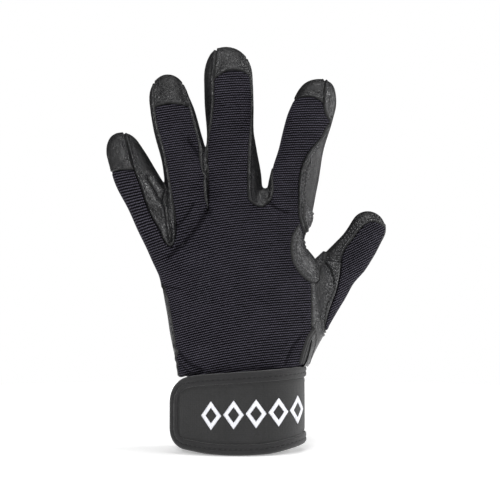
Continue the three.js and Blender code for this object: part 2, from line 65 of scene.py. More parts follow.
LITTLE.right = [
    (1.06, 0.31), (0.986, 0.31), (0.872, 0.22), (0.758, 0.15), (0.646, 0.11), (0.569, 0.02),
    (0.511, -0.04), (0.445, -0.08), (0.388, -0.05), (0.341, -0.06), (0.297, -0.12),
]
LITTLE.capEdge = [
    (0.794, -1.2), (0.799, -0.9), (0.784, -0.41), (0.755, 0.15),
]
RING.rows = [
    (0, 0.92, 0), (0.25, 0.97, 0), (0.44, 0.97, 0.05), (0.53, 1, 0.07), (0.7, 0.98, 0.015),
    (0.8, 0.94, -0.01), (0.875, 0.88, -0.03),
]
RING.left = [
    (0.2, -0.64), (0.34, -0.65), (0.44, -0.71), (0.6, -0.74), (0.8, -0.77), (0.88, -0.67),
    (1.05, -0.44),
]
RING.right = [
    (1.05, 0.52), (0.88, 0.73), (0.8, 0.79), (0.6, 0.8), (0.44, 0.79), (0.34, 0.76),
]
RING.capEdge = [
    (0.84, -0.72), (0.845, 0), (0.815, 0.78),
]
MIDDLE.rows = [
    (0, 1, 0), (0.25, 1.08, 0), (0.38, 1.07, 0.03), (0.53, 1.01, 0), (0.61, 0.95, 0),
    (0.73, 0.99, 0), (0.862, 0.97, 0),
]
MIDDLE.left = [
    (0.31, -1.06), (0.43, -1.02), (0.527, -0.97), (0.605, -0.86), (0.664, -0.75), (0.755, -0.63),
    (0.847, -0.59), (0.966, -0.46), (1.05, -0.42),
]
MIDDLE.right = [
    (1.05, 0.6), (0.969, 0.72), (0.858, 0.86), (0.747, 0.89), (0.655, 0.83), (0.518, 0.69),
    (0.426, 0.58), (0.334, 0.54), (0.288, 0.58),
]
MIDDLE.capEdge = [
    (0.847, -0.59), (0.868, -0.3), (0.883, 0), (0.884, 0.28), (0.877, 0.6), (0.858, 0.86),
]
INDEX.rows = [
    (0, 0.9, 0), (0.25, 0.96, 0), (0.45, 1.02, -0.04), (0.63, 0.95, -0.04), (0.76, 0.96, 0),
    (0.865, 0.91, 0.05),
]
INDEX.left = [
    (0.36, -0.8), (0.44, -0.92), (0.52, -1.0), (0.62, -1.03), (0.8, -1.04),
]
INDEX.right = [
    (1.05, 0.1), (0.992, 0.21), (0.939, 0.26), (0.876, 0.33), (0.836, 0.47), (0.808, 0.67),
    (0.793, 0.84), (0.743, 0.75), (0.698, 0.69), (0.655, 0.53), (0.594, 0.3), (0.548, 0.21),
    (0.498, 0.17), (0.402, 0.23), (0.351, 0.3), (0.288, 0.38), (0.239, 0.53), (0.19, 0.75),
    (0.13, 0.98),
]
INDEX.capEdge = [
    (0.86, -0.98), (0.893, -0.4), (0.895, -0.1), (0.876, 0.33),
]
THUMB.rows = [
    (0, 1.21, 0), (0.14, 1.13, 0), (0.34, 1, 0), (0.46, 0.94, 0), (0.56, 0.82, 0.01),
    (0.68, 0.77, 0.045), (0.78, 0.735, 0.075), (0.89, 0.71, 0.045),
]
THUMB.gusset = [
    (0.62, -0.95), (0.558, -0.85), (0.549, -0.5), (0.536, -0.2), (0.503, 0.05), (0.476, 0.23),
    (0.442, 0.34), (0.39, 0.42), (0.335, 0.48), (0.267, 0.69), (0.204, 0.95), (0.18, 1.25),
]
THUMB.welt = [
    (0.955, 1.1), (0.953, 0.23), (0.942, -0.01), (0.91, -0.16), (0.868, -0.27), (0.765, -0.34),
    (0.708, -0.33), (0.648, -0.22), (0.571, 0.1), (0.514, 0.29), (0.442, 0.48), (0.358, 0.62),
    (0.277, 0.78), (0.219, 0.95), (0.2, 1.25),
]
PALM_ROWS = [
    (0.014, 0.023, 0.83, 1.3, 0.09), (0.055, 0.028, 0.865, 1.35, 0.05),
    (0.166, 0.032, 0.926, 1.22, 0.04), (0.29, 0.032, 0.968, 1.1, 0.02),
    (0.424, 0.018, 0.99, 1.02, 0), (0.537, 0, 1, 0.98, 0), (0.65, -0.03, 1, 0.95, 0),
    (0.732, 0.005, 0.86, 0.9, 0), (0.815, 0.04, 0.77, 0.84, 0), (0.897, 0.085, 0.66, 0.74, 0),
    (0.959, 0.11, 0.53, 0.62, 0), (1.031, 0.145, 0.36, 0.5, 0), (1.093, 0.16, 0.2, 0.3, 0),
]
LEFT_WRAP = [
    (0.547, -1.06), (0.485, -0.95), (0.28, -0.86), (0.094, -0.8), (-0.05, -0.77),
]
RIGHT_WRAP = [
    (0.65, 0.88), (0.485, 0.905), (0.259, 0.905),
]
CROOK = [
    (0.893, 0.745), (0.856, 0.69), (0.804, 0.645), (0.738, 0.635), (0.676, 0.65), (0.614, 0.71),
    (0.563, 0.8), (0.529, 0.9), (0.525, 0.945), (0.537, 0.995), (0.57, 1.02), (0.619, 1.035),
    (0.657, 1.09), (0.713, 1.12), (0.738, 0.97), (0.763, 0.9), (0.788, 0.817), (0.846, 0.775),
]
SIDE = [
    (1.031, 0.79), (0.998, 0.88), (0.964, 0.935), (0.954, 1.2), (0.794, 1.2), (0.784, 0.885),
    (0.856, 0.83), (0.938, 0.79),
]
SLIT = [
    (0.228, 0.93, 0.95), (0.14, 0.855, 0.93), (0.077, 0.815, 0.885), (0.033, 0.79, 0.865),
    (-0.029, 0.7, 0.78), (-0.091, 0.62, 0.67), (-0.605, 0.6, 0.63),
]
# Small moves of the hand form: place on the front view, reach along each axis, and move
NUDGES = [
    ((45, 49), (7, 5), (-1.6, -4.8)), ((-38, 44), (7, 5), (0.3, -4.2)),
    ((-68.4, 140), (9, 16), (1.7, 0.5)), ((-16.8, 237), (8, 8), (-0.9, 1.1)),
    ((-45, 219), (9, 7), (-0.3, 0.9)), ((-32.4, 211), (6, 9), (-1.0, -0.4)),
    ((-76.2, 184), (8, 7), (-0.7, 1.0)), ((-61.8, 179), (6, 7), (-0.8, -0.4)),
    ((53.4, 214.6), (7, 7), (1.6, 1.3)), ((34.8, 211), (5, 8), (0.7, 0)),
    ((8.4, 190), (6, 24), (-0.9, 0)), ((-48, 166), (6, 20), (0.9, 0)),
    ((24, 175), (6, 20), (0.9, 0)), ((14.4, 151.6), (4, 4), (0, 1.8)),
    ((39, 117), (7, 9), (-2.6, 0)), ((29, 47.5), (11, 4), (0, -2.6)),
    ((73.2, 103), (8, 10), (1.2, -0.7)), ((-44.4, 79), (8, 26), (-0.6, 0)),
]
WEBS = dict(little_ring=(0.738, -0.862), ring_middle=(0.963, -0.398), middle_index=(0.985, 0.28))
STRAP_ROWS = [
    (-1.2, -0.03, 0.865), (-0.85, -0.035, 0.87), (-0.5, -0.07, 0.9), (-0.1, -0.083, 0.925),
    (0.35, -0.07, 0.95), (0.75, -0.01, 0.97), (1.05, 0.045, 0.985),
]

STRAP = Values(clearance=2.5, thickness=3.2, height=46, width=75, corner=11, top_corner=15, start=150,
               leave=-112, flap_radius=62, flap=28)


# Curves

def monotone(x, y, at):
    """A smooth curve through the points (x, y) that never overshoots them."""
    x, y, at = np.asarray(x, float), np.asarray(y, float), np.asarray(at, float)
    step = np.diff(x)
    rise = np.diff(y) / step
    slope = np.zeros_like(y)
    slope[0], slope[-1] = rise[0], rise[-1]
    for i in range(1, len(x) - 1):
        if rise[i - 1] * rise[i] > 0:
            near, away = 2 * step[i] + step[i - 1], step[i] + 2 * step[i - 1]
            slope[i] = (near + away) / (near / rise[i - 1] + away / rise[i])
    i = np.clip(np.searchsorted(x, at, side="right") - 1, 0, len(x) - 2)
    t = np.clip((at - x[i]) / step[i], 0, 1)
    h00, h10, h11 = 2 * t**3 - 3 * t**2 + 1, t**3 - 2 * t**2 + t, t**3 - t**2
    return h00 * y[i] + h10 * step[i] * slope[i] + (1 - h00) * y[i + 1] + h11 * step[i] * slope[i + 1]


def run_along(line):
    """The distance along a line at each of its points."""
    return np.concatenate([[0], np.cumsum(np.linalg.norm(np.diff(line, axis=0), axis=1))])


def resampled(line, at):
    run = run_along(line)
    return np.stack([monotone(run, line[:, k], at) for k in range(line.shape[1])], axis=1)


def smooth_line(points, spacing):
    """A smooth line through points, resampled at about a spacing."""
    points = np.asarray(points, float)
    length = run_along(points)[-1]
    return resampled(points, np.linspace(0, length, max(2, int(length / spacing) + 1)))


def rounded(line, rounds=1):
    """A line whose inner points move towards their neighbours, some rounds over."""
    line = line.copy()
    for _ in range(rounds):
        line[1:-1] = (line[:-2] + line[2:] + 2 * line[1:-1]) / 4
    return line


def bell(distance, middle, spread):
    return np.exp(-((distance - middle) / spread) ** 2)


def ease(low_end, high_end, value):
    t = np.clip((value - low_end) / (high_end - low_end), 0, 1)
    return t * t * (3 - 2 * t)


def around(count):
    """Angles spread evenly round a circle."""
    return np.arange(count) * 2 * np.pi / count


def unit(vector):
    vector = np.asarray(vector, float)
    return vector / np.maximum(np.linalg.norm(vector, axis=-1, keepdims=True), 1e-9)


def lean_back(z):
    return ROOT_SET + CURL * np.maximum(0, (z - CURL_START) / CURL_LENGTH) ** 1.7


def drift(limb, along):
    rows = np.array(limb.rows)
    return np.interp(along, rows[:, 0], rows[:, 2]) * limb.width


def turned(limb, run, aside):
    """A place on the front view, from millimetres up a finger and aside from its axis."""
    lean = math.radians(limb.lean)
    return (limb.x - math.sin(lean) * run + math.cos(lean) * aside,
            limb.z + math.cos(lean) * run + math.sin(lean) * aside)


def on_limb(limb, along, across):
    """A place on the front view, from the shares of a finger's length and half width."""
    return np.array(turned(limb, along * limb.length, drift(limb, along) + across * limb.width / 2))


def seam_on(limb, rows):
    return np.array([on_limb(limb, along, across) for along, across in rows])


def on_palm(rise, across):
    return np.array([across * PALM.width / 2, CUFF.height + rise * PALM.length])


def seam_on_palm(rows):
    return np.array([on_palm(rise, across) for rise, across in rows])


# The hand form as overlapping closed skins

def skin(rings):
    sides = len(rings[0])
    verts = [tuple(p) for ring in rings for p in ring]
    faces = []
    for i in range(len(rings) - 1):
        for j in range(sides):
            a, b = i * sides + j, i * sides + (j + 1) % sides
            faces.append((a, b, b + sides, a + sides))
    faces.append(tuple(range(sides))[::-1])
    faces.append(tuple(range((len(rings) - 1) * sides, len(rings) * sides)))
    return verts, faces


def merged(parts):
    verts, faces, count = [], [], 0
    for part_verts, part_faces in parts:
        verts.append(np.asarray(part_verts, float))
        faces += [tuple(count + i for i in face) for face in part_faces]
        count += len(part_verts)
    return np.vstack(verts), faces


def superellipse(half_width, half_depth, shape, angle):
    def bulged(share):
        return np.sign(share) * np.abs(share) ** (2 / shape)
    return bulged(np.cos(angle)) * half_width, bulged(np.sin(angle)) * half_depth


def limb_skin(limb, offset, sides=56):
    rows = np.array(limb.rows)
    last = rows[-1, 0]
    lean = math.radians(limb.lean)
    stations = [(a, 1.0) for a in np.linspace(0, last, int(last * limb.length / 2))]
    dome = 1 - last + offset / limb.length
    stations += [(last + math.sin(turn) * dome, math.cos(turn)) for turn in np.arange(1, 13) / 12 * 1.52]
    rings = []
    for along, shrink in stations:
        scale = float(monotone(rows[:, 0], rows[:, 1], min(along, last)))
        aside = float(monotone(rows[:, 0], rows[:, 2], min(along, last))) * limb.width
        cx, cz = turned(limb, along * limb.length, aside)
        cy = THUMB_Y[0] + (THUMB_Y[1] - THUMB_Y[0]) * along if limb is THUMB else lean_back(cz)
        side, deep = superellipse((limb.width / 2 * scale + offset) * shrink,
                                  (limb.depth / 2 * scale + offset) * shrink, LIMB_SHAPE, around(sides))
        rings.append(np.stack([cx + math.cos(lean) * side, cy + deep, cz + math.sin(lean) * side], axis=1))
    return skin(rings)


def palm_skin(offset, below=6, sides=96):
    rows = np.array([(row[0] * PALM.length + CUFF.height, row[1] * PALM.width,
                      row[2] * PALM.width / 2, row[3] * PALM.depth / 2, row[4]) for row in PALM_ROWS])
    cuff = (CUFF.height, CUFF.centre, CUFF.width / 2, CUFF.depth / 2, CUFF.slope)
    rows = np.vstack([[(-below, *cuff[1:4], 0), cuff], rows])
    rows[-1, 0] += offset
    heights = np.unique(np.concatenate([rows[:, 0], np.arange(-below, rows[-1, 0], 1.6)]))
    rings = []
    for z in heights:
        cx, half_width, half_depth, slope = (float(monotone(rows[:, 0], rows[:, k], z))
                                             for k in (1, 2, 3, 4))
        side, deep = superellipse(half_width + offset, half_depth + offset, PALM.shape, around(sides))
        rings.append(np.stack([cx + side, deep, z + slope * side], axis=1))
    return skin(rings)


def new_mesh(name, verts, faces):
    mesh = bpy.data.meshes.new(name)
    mesh.from_pydata([tuple(v) for v in verts], [], [tuple(f) for f in faces])
    mesh.update()
    return mesh


def linked(name, data):
    made = bpy.data.objects.new(name, data)
    bpy.context.scene.collection.objects.link(made)
    return made


def fused(skins, voxel):
    """One closed surface round several overlapping skins, none of its faces in a panel yet."""
    holder = linked("fusing", new_mesh("fusing", *merged(skins)))
    remesh = holder.modifiers.new("fuse", "REMESH")
    remesh.mode = "VOXEL"
    remesh.voxel_size = voxel
    mesh = bpy.data.meshes.new_from_object(holder.evaluated_get(bpy.context.evaluated_depsgraph_get()))
    bpy.data.objects.remove(holder)
    mesh.attributes.new("part", "INT", "FACE")
    return mesh


def read(items, key, kind=np.int32, width=1):
    """One property of all of a mesh's points, edges, corners or faces."""
    flat = np.empty(len(items) * width, kind)
    items.foreach_get(key, flat)
    return flat.reshape(-1, width) if width > 1 else flat


def coords(mesh):
    return read(mesh.vertices, "co", np.float32, 3).astype(float)


def set_coords(mesh, points):
    mesh.vertices.foreach_set("co", points.astype(np.float32).ravel())
    mesh.update()


def normals(mesh):
    return read(mesh.vertex_normals, "vector", np.float32, 3).astype(float)


def centres(mesh):
    return read(mesh.polygons, "center", np.float32, 3).astype(float)


def edges_of(mesh):
    return read(mesh.edges, "vertices", width=2)


def labels(mesh):
    return read(mesh.attributes["part"].data, "value")


def relaxed(points, edges, rounds, weight=1.0):
    """Moves each point towards the middle of its neighbours, some rounds over."""
    size = len(points)
    first, second = edges.T
    count = np.maximum(np.bincount(edges.ravel(), minlength=size), 1)[:, None]
    share = np.broadcast_to(0.5 * weight, size)[:, None]
    for _ in range(rounds):
        total = [np.bincount(first, axis[second], size) + np.bincount(second, axis[first], size)
                 for axis in points.T]
        points = points + share * (np.stack(total, axis=1) / count - points)
    return points


# Cutting the surface along seams

def poly_field(outline):
    """Signed distance to an outline on the front view: negative inside it."""
    ends = np.asarray(outline, float)
    starts = np.roll(ends, 1, axis=0)

    def field(points):
        x, z = points[:, 0], points[:, 2]
        nearest = np.full(len(points), 1e9)
        inside = np.zeros(len(points), bool)
        for (ax, az), (bx, bz) in zip(starts, ends):
            dx, dz = bx - ax, bz - az
            t = np.clip(((x - ax) * dx + (z - az) * dz) / max(dx * dx + dz * dz, 1e-9), 0, 1)
            np.minimum(nearest, (x - ax - t * dx) ** 2 + (z - az - t * dz) ** 2, out=nearest)
            crosses = (az > z) != (bz > z)
            if crosses.any():
                cut_x = ax + (z - az) * dx / (dz if dz else 1e-9)
                inside ^= crosses & (x < cut_x)
        return np.where(inside, -1, 1) * np.sqrt(nearest)
    return field


def cut(mesh, field, near=0.09):
    """Splits the faces that a field's zero line crosses and that no panel has taken yet."""
    value = field(coords(mesh))
    value[np.abs(value) < near] = 0
    edges = edges_of(mesh)
    crossing = np.flatnonzero(value[edges[:, 0]] * value[edges[:, 1]] < 0)
    work = bmesh.new()
    work.from_mesh(mesh)
    work.verts.ensure_lookup_table()
    work.edges.ensure_lookup_table()
    taken = work.faces.layers.int["part"]
    on_line = set()
    faces = {}
    for i in np.flatnonzero(value == 0):
        on_line.add(work.verts[i])
        faces.update(dict.fromkeys(work.verts[i].link_faces))
    chosen = [work.edges[i] for i in crossing]
    ends = [(value[edge.verts[0].index], value[edge.verts[1].index]) for edge in chosen]
    for edge, (a, b) in zip(chosen, ends):
        if all(face[taken] for face in edge.link_faces):
            continue
        faces.update(dict.fromkeys(edge.link_faces))
        _, vert = bmesh.utils.edge_split(edge, edge.verts[0], a / (a - b))
        on_line.add(vert)
    for face in faces:
        if not face.is_valid or face[taken]:
            continue
        corners = list(face.verts)
        hits = [i for i, vert in enumerate(corners) if vert in on_line]
        for i in hits[1:]:
            if 1 < i - hits[0] < len(corners) - 1:
                bmesh.utils.face_split(face, corners[hits[0]], corners[i])
                break
    work.to_mesh(mesh)
    work.free()
    mesh.update()


def submesh(mesh, keep, points=None):
    """The faces of a mesh that a mask keeps: their points, faces and old point numbers."""
    points = coords(mesh) if points is None else points
    sizes = read(mesh.polygons, "loop_total")
    corners = read(mesh.loops, "vertex_index")
    used, renumbered = np.unique(corners[np.repeat(keep, sizes)], return_inverse=True)
    faces = np.split(renumbered, np.cumsum(sizes[keep])[:-1])
    return points[used], [face.tolist() for face in faces], used


def open_sides(faces):
    """The face sides that no other face shares."""
    sides = dict.fromkeys((a, b) for face in faces for a, b in zip(face, face[1:] + face[:1]))
    return [(a, b) for a, b in sides if (b, a) not in sides]


# The seams between the panels, on the front view

FINGERS = dict(little=LITTLE, ring=RING, middle=MIDDLE, index=INDEX)
LIMBS = [*FINGERS.values(), THUMB]
FAR = 150
STEP = 2.2
WEB_ROUND = 9


def strip_outline(web, left, right):
    """The strip between two fingers: down one finger's side, round the web and up the other's."""
    root = on_palm(*WEBS[web])
    up = (on_limb(left, 1.1, 0) + on_limb(right, 1.1, 0)) / 2 - root
    up /= np.linalg.norm(up)
    aside = np.array([up[1], -up[0]])

    def kept_on(side, points):
        short = 0.6 - side * (points - root) @ aside
        return points + np.where(short > 0, side * short, 0)[:, None] * aside
    down = kept_on(-1, seam_on(left, left.right))
    rise = kept_on(1, seam_on(right, right.left))
    whole = smooth_line(np.vstack([down, [root + up * 0.6], rise]), 1.1)
    near = np.linalg.norm(whole - root, axis=1) < WEB_ROUND
    for _ in range(12):
        whole = np.where(near[:, None], rounded(whole), whole)
    return whole


INDEX_EDGE = smooth_line(seam_on(INDEX, INDEX.right), STEP)
RIGHT_EDGE = smooth_line(seam_on_palm(RIGHT_WRAP), STEP)
LEFT_EDGE = smooth_line(seam_on_palm(LEFT_WRAP), STEP)
GUSSET = smooth_line(seam_on(THUMB, THUMB.gusset), STEP)
WELT = smooth_line(seam_on(THUMB, THUMB.welt), STEP)
SLIT_LEFT = smooth_line(seam_on_palm([(row[0], row[1]) for row in SLIT]), STEP)
SLIT_RIGHT = smooth_line(seam_on_palm([(row[0], row[2]) for row in SLIT]), STEP)


def cap_outline(finger):
    edge = finger.capEdge
    end = edge[-1][0]
    if finger is INDEX:
        side = [row for row in finger.right if row[0] > end]
        right = smooth_line(seam_on(INDEX, [edge[-1]] + side[::-1]), STEP)
    else:
        right = seam_on(finger, [(end, 1.4), (1.12, 1.4)])
    return np.vstack([seam_on(finger, [(edge[0][0], -1.4)]), smooth_line(seam_on(finger, edge), STEP),
                      right, seam_on(finger, [(1.12, -1.4)])])


def behind_side(points):
    return points[:, 1] - (lean_back(points[:, 2]) + SIDE_SEAM)


def both(*fields):
    return lambda points: np.maximum.reduce([field(points) for field in fields])


def past(depth):
    return lambda points: points[:, 1] - depth


slit_field = both(poly_field(np.vstack([SLIT_LEFT, SLIT_RIGHT[::-1]])), past(-CUFF.depth / 4))
cuff_left = CUFF.centre - CUFF.width * 0.42
back_outline = np.vstack([seam_on(INDEX, [(1.3, 0.3)]), INDEX_EDGE, RIGHT_EDGE, SLIT_LEFT,
                          [(cuff_left, -FAR), (cuff_left, CUFF.height / 2)],
                          LEFT_EDGE[::-1], [on_palm(LEFT_WRAP[0][0], -4), (-FAR, 2 * FAR)]])
thumb_back_outline = np.vstack([WELT, seam_on(THUMB, [(0.15, 4.5), (0.91, 4.5)])])
thumb_front_outline = np.vstack([GUSSET, seam_on(THUMB, [(0.1, 4.5), (1.4, 4.5), (1.4, -1.6)])])
REGIONS = dict(slit=slit_field)
for web, left, right in zip(WEBS, LIMBS, LIMBS[1:]):
    REGIONS["fourchette_" + web] = both(poly_field(strip_outline(web, left, right)), behind_side)
for finger, limb in FINGERS.items():
    REGIONS["cap_" + finger] = both(poly_field(cap_outline(limb)), behind_side)
REGIONS["thumb_back"] = both(poly_field(thumb_back_outline), past(THUMB_SEAM))
REGIONS["thumb_front"] = poly_field(thumb_front_outline)
REGIONS["back_panel"] = both(poly_field(back_outline), behind_side)
REGIONS["below"] = lambda points: points[:, 2]
NAMES = ["palm_panel", *REGIONS]
SLOTS = {name: "trim_leather" for name in NAMES if name not in ("slit", "below")}
SLOTS.update(back_panel="knit", thumb_back="knit", palm_panel="palm_leather", thumb_front="palm_leather")
KNITTED = [NAMES.index(name) for name in SLOTS if SLOTS[name] == "knit"]
KEPT = [NAMES.index(name) for name in SLOTS]


# The outer surface, cut into its panels

def nudged(points):
    points = points.copy()
    x, z = points[:, 0].copy(), points[:, 2].copy()
    for (at_x, at_z), (wide, high), move in NUDGES:
        share = np.exp(-((x - at_x) / wide) ** 2 - ((z - at_z) / high) ** 2)
        points[:, 0] += share * move[0]
        points[:, 2] += share * move[1]
    return points


VOXEL, ROUNDS = ((0.77, 24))
CUFF_EDGE = 46
hand = fused([limb_skin(limb, 0) for limb in LIMBS] + [palm_skin(0)], VOXEL)
rough = nudged(coords(hand))
overhang = bell(rough[:, 2], CUFF_EDGE, 5)
set_coords(hand, relaxed(rough, edges_of(hand), ROUNDS, weight=1 - 0.85 * overhang))
plain = hand.copy()
for number, (name, field) in enumerate(REGIONS.items(), 1):
    cut(hand, field)
    part = labels(hand)
    within = field(centres(hand)) < 0
    part[within & ((part == 0) | (name == "below"))] = number
    hand.attributes["part"].data.foreach_set("value", part)


# Seams, folds and the ribs' course over the hand's surface

def distance_to(targets, points, reach=12.0):
    tree = KDTree(len(targets))
    for i, target in enumerate(targets):
        tree.insert(target, i)
    tree.balance()
    return np.array([min(tree.find(point)[2], reach) for point in points])


def seam_state(mesh):
    """For each point, whether it lies inside a knitted panel, and how far the nearest seam is."""
    vertex = read(mesh.loops, "vertex_index")
    panel = np.repeat(labels(mesh), read(mesh.polygons, "loop_total"))
    kept = np.isin(panel, KEPT)
    low = np.full(len(mesh.vertices), 99)
    high = np.full(len(mesh.vertices), -1)
    np.minimum.at(low, vertex[kept], panel[kept])
    np.maximum.at(high, vertex[kept], panel[kept])
    on_seam = (high >= 0) & (low != high)
    points = coords(mesh)
    ends = edges_of(mesh)
    ends = ends[on_seam[ends].all(axis=1)]
    line = [points[ends[:, 0]] * (1 - t) + points[ends[:, 1]] * t for t in (0, 0.2, 0.4, 0.6, 0.8)]
    return np.isin(low, KNITTED) & (low == high), distance_to(np.vstack(line), points)


def split_in_four(mesh, chosen):
    """Halves the chosen edges of a mesh, and with all of them chosen its many-sided faces are cut up too."""
    work = bmesh.new()
    work.from_mesh(mesh)
    work.edges.ensure_lookup_table()
    edges = [work.edges[i] for i in np.flatnonzero(chosen)]
    bmesh.ops.subdivide_edges(work, edges=edges, cuts=1, use_grid_fill=True)
    if len(edges) == len(chosen):
        bmesh.ops.triangulate(work, faces=[face for face in work.faces if len(face.verts) > 4])
    work.to_mesh(mesh)
    work.free()
    mesh.update()


def refine(mesh, reach):
    """Splits in four the faces near the seams that the photograph's side shows."""
    distance = seam_state(mesh)[1]
    x, y, z = coords(mesh).T
    on_back = (y < np.maximum(lean_back(z) + 4, -2)) & (z > 0)
    on_thumb = (x > 42) & (y < 10)
    near = (distance < reach) & (on_back | on_thumb)
    split_in_four(mesh, near[edges_of(mesh)].all(axis=1))


SEAM_REACH = 2.9
refine(hand, SEAM_REACH)
set_coords(hand, relaxed(coords(hand), edges_of(hand), 2))
base = coords(hand)
outward = normals(hand)
part = labels(hand)
# The distance to the nearest seam is also stored as a point value. The finishes read it to paint shade into
# the seam grooves, and, once it is lowered along the folds below, into the fold valleys.
soft_side, seam_and_shade = seam_state(hand)

# Each seam is a groove, with a swelling of the panels beside it
lift = -0.65 * bell(seam_and_shade, 0, 0.5)
lift += np.where(soft_side, 0.25 * bell(seam_and_shade, 1.9, 1.2), 0.6 * bell(seam_and_shade, 1.15, 0.8))

# Each fold: points on the front view, depth and half width, first those on the back of the hand
FOLDS = [
    ([(-19, 137.5), (-24, 129.5), (-30, 122.5), (-36, 116.5), (-42, 111)], 1.9, 2.0),
    ([(-27, 143), (-31, 136), (-37, 129)], 0.8, 1.8),
    ([(-44.8, 148), (-43.3, 136), (-41.5, 124), (-40.4, 116.5)], 1.6, 1.2),
    ([(-54, 158), (-49, 150), (-45.5, 143)], 1.2, 1.4),
    ([(-56, 142), (-51, 140), (-46.5, 135)], 0.9, 1.3),
    ([(-30, 180), (-24, 171), (-20.5, 162)], 1.4, 1.8),
    ([(16, 146), (21, 140), (28, 137)], 1.0, 1.8),
    ([(-37, 55), (-30, 48), (-22, 44)], 1.3, 1.7),
    ([(-36, 48), (-30, 43), (-24, 40.5)], 1.1, 1.4),
    ([(36, 64), (30, 56), (27, 48)], 0.8, 2.0),
    ([(-50, 96), (-44, 93), (-36, 92)], 0.7, 1.8),
    ([(48, 109.3), (54.5, 109), (60.6, 108.2)], 0.7, 0.7),
]
PALM_FOLDS = [(seam_on(finger, [(along, -0.75), (along - 0.01, 0), (along, 0.75)]), 0.5, 1.5)
              for finger in FINGERS.values() for along in (0.4, 0.63)]
PALM_FOLDS += [
    (seam_on(THUMB, [(0.68, -0.7), (0.66, 0), (0.68, 0.7)]), 0.5, 1.6),
    ([(38, 117), (24, 108), (13, 94), (8, 76), (8, 60)], 0.9, 2.8),
    ([(-44, 108), (-26, 114), (-6, 118), (14, 127)], 0.6, 2.4),
    ([(36, 113), (12, 107), (-12, 96), (-30, 84)], 0.5, 2.4),
]
for points, depth, spread, way in [(*fold, -1) for fold in FOLDS] + [(*fold, 1) for fold in PALM_FOLDS]:
    line = smooth_line(points, 1.0)
    run = np.abs(poly_field(np.vstack([line, line[::-1]]))(base))
    front = np.clip(outward[:, 1] * 2 * way, 0, 1)
    lift += front * depth * (0.45 * bell(run, spread * 1.8, spread) - bell(run, 0, spread))
    # Painted shade: along each fold on the back of the hand, the seam value is lowered towards the valley so
    # that the finishes darken the valley.
    fold_shade = np.minimum(seam_and_shade, 0.58 + 0.5 * (run / spread) ** 2 / max(depth, 0.8))
    seam_and_shade = np.where(front * -way > 0.3, fold_shade, seam_and_shade)
surface = base + outward * lift[:, None]

# The ribs climb to the right, most steeply by the little finger
RIB_PITCH = 1.42
RIB_CLIMB = [(-95, 0.36), (-40, 0.34), (-22, 0.26), (0, 0.16), (22, 0.08), (45, 0.04), (60, 0.04)]
THUMB_CLIMB = 0.5
THUMB_PITCH = 1.3


def rib_course(points):
    x, z = points[:, 0], points[:, 2]
    at = np.arange(-95, 60, 1.0)
    steep = np.interp(at, *zip(*RIB_CLIMB))
    climbed = np.interp(x, at, np.cumsum(steep) - np.cumsum(steep)[90])
    rib = z - climbed * (1 - 0.6 * ease(100, 165, z))
    return rib / RIB_PITCH


def thumb_ribs(points):
    return (points[:, 2] - THUMB_CLIMB * points[:, 0]) / math.hypot(1, THUMB_CLIMB) / THUMB_PITCH


# Pieces

class Piece:
    """Collects meshes, each with its own material, and turns them into one object."""

    def __init__(self, name):
        self.name = name
        self.verts, self.faces, self.finishes, self.materials = [], [], [], []
        self.rib, self.seam_and_shade = [], []
        self.count = 0

    def add(self, verts, faces, material, rib=None, seam_and_shade=None):
        if material not in self.materials:
            self.materials.append(material)
        verts = np.asarray(verts, float)
        self.faces += [tuple(self.count + i for i in face) for face in faces]
        self.finishes += [self.materials.index(material)] * len(faces)
        self.verts.append(verts)
        self.rib.append(np.zeros(len(verts)) if rib is None else rib)
        self.seam_and_shade.append(np.full(len(verts), 9.0) if seam_and_shade is None else seam_and_shade)
        self.count += len(verts)
        return self

    def place(self, slot, *nodes):
        points = np.vstack(self.verts) * MM
        points[:, 0] -= CUFF.centre * MM
        mesh = bpy.data.meshes.new(self.name)
        mesh.from_pydata(points.tolist(), [], self.faces)
        for material in self.materials:
            mesh.materials.append(material)
        mesh.polygons.foreach_set("material_index", self.finishes)
        mesh.polygons.foreach_set("use_smooth", [True] * len(self.faces))
        for name, values in (("rib", self.rib), ("seam_and_shade", self.seam_and_shade)):
            layer = mesh.attributes.new(name, "FLOAT", "POINT")
            layer.data.foreach_set("value", np.concatenate(values).astype(np.float32))
        mesh.update()
        piece = linked(self.name, mesh)
        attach(piece, "root")
        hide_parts(*nodes)
        return piece


def tube(path, radius, sides, taper):
    """A closed tube along a path; taper scales the radius at each point."""
    path = np.asarray(path, float)
    tangent = unit(np.gradient(path, axis=0))
    aside = unit(np.cross(tangent, [0.13, 0.97, 0.2]))
    upward = np.cross(aside, tangent)
    size = radius * np.asarray(taper)
    across, up = np.cos(around(sides))[:, None], np.sin(around(sides))[:, None]
    return skin([centre + size[i] * (across * aside[i] + up * upward[i]) for i, centre in enumerate(path)])


def stitch(centre, along, up, length=1.2, radius=0.27, height=0.25):
    """One thread stitch: an arc whose ends dive into the surface."""
    share = np.array([-1, -0.72, -0.25, 0.25, 0.72, 1])
    path = centre + np.outer(share * length / 2, along) + np.outer(height - 0.75 * share**4, up)
    return tube(path, radius, 5, [0.7, 0.95, 1, 1, 0.95, 0.7])


def needle_hole_shade(centre, up, radius=0.6):
    """A near-black dent where the needle went through, painted as the hole's shade."""
    return tube(centre + np.outer([-0.4, 0.12, 0.2], up), radius, 7, [1, 1, 0.6])


hand_tree = BVHTree.FromPolygons(surface.tolist(), submesh(hand, np.ones(len(part), bool))[1])


def dropped(points, tree):
    """Points of the front view laid on a surface from in front, with the surface's way out."""
    spots, ways = [], []
    for x, z in points:
        hit, normal, _, _ = tree.ray_cast(Vector((x, -120, z)), Vector((0, 1, 0)))
        if hit is not None:
            spots.append(tuple(hit))
            ways.append(tuple(normal if normal.y < 0 else -normal))
    return np.array(spots), np.array(ways)


def shifted(line, distance):
    """A line of the front view moved to its left by a distance."""
    heading = unit(np.gradient(line, axis=0))
    return line + distance * np.stack([-heading[:, 1], heading[:, 0]], axis=1)


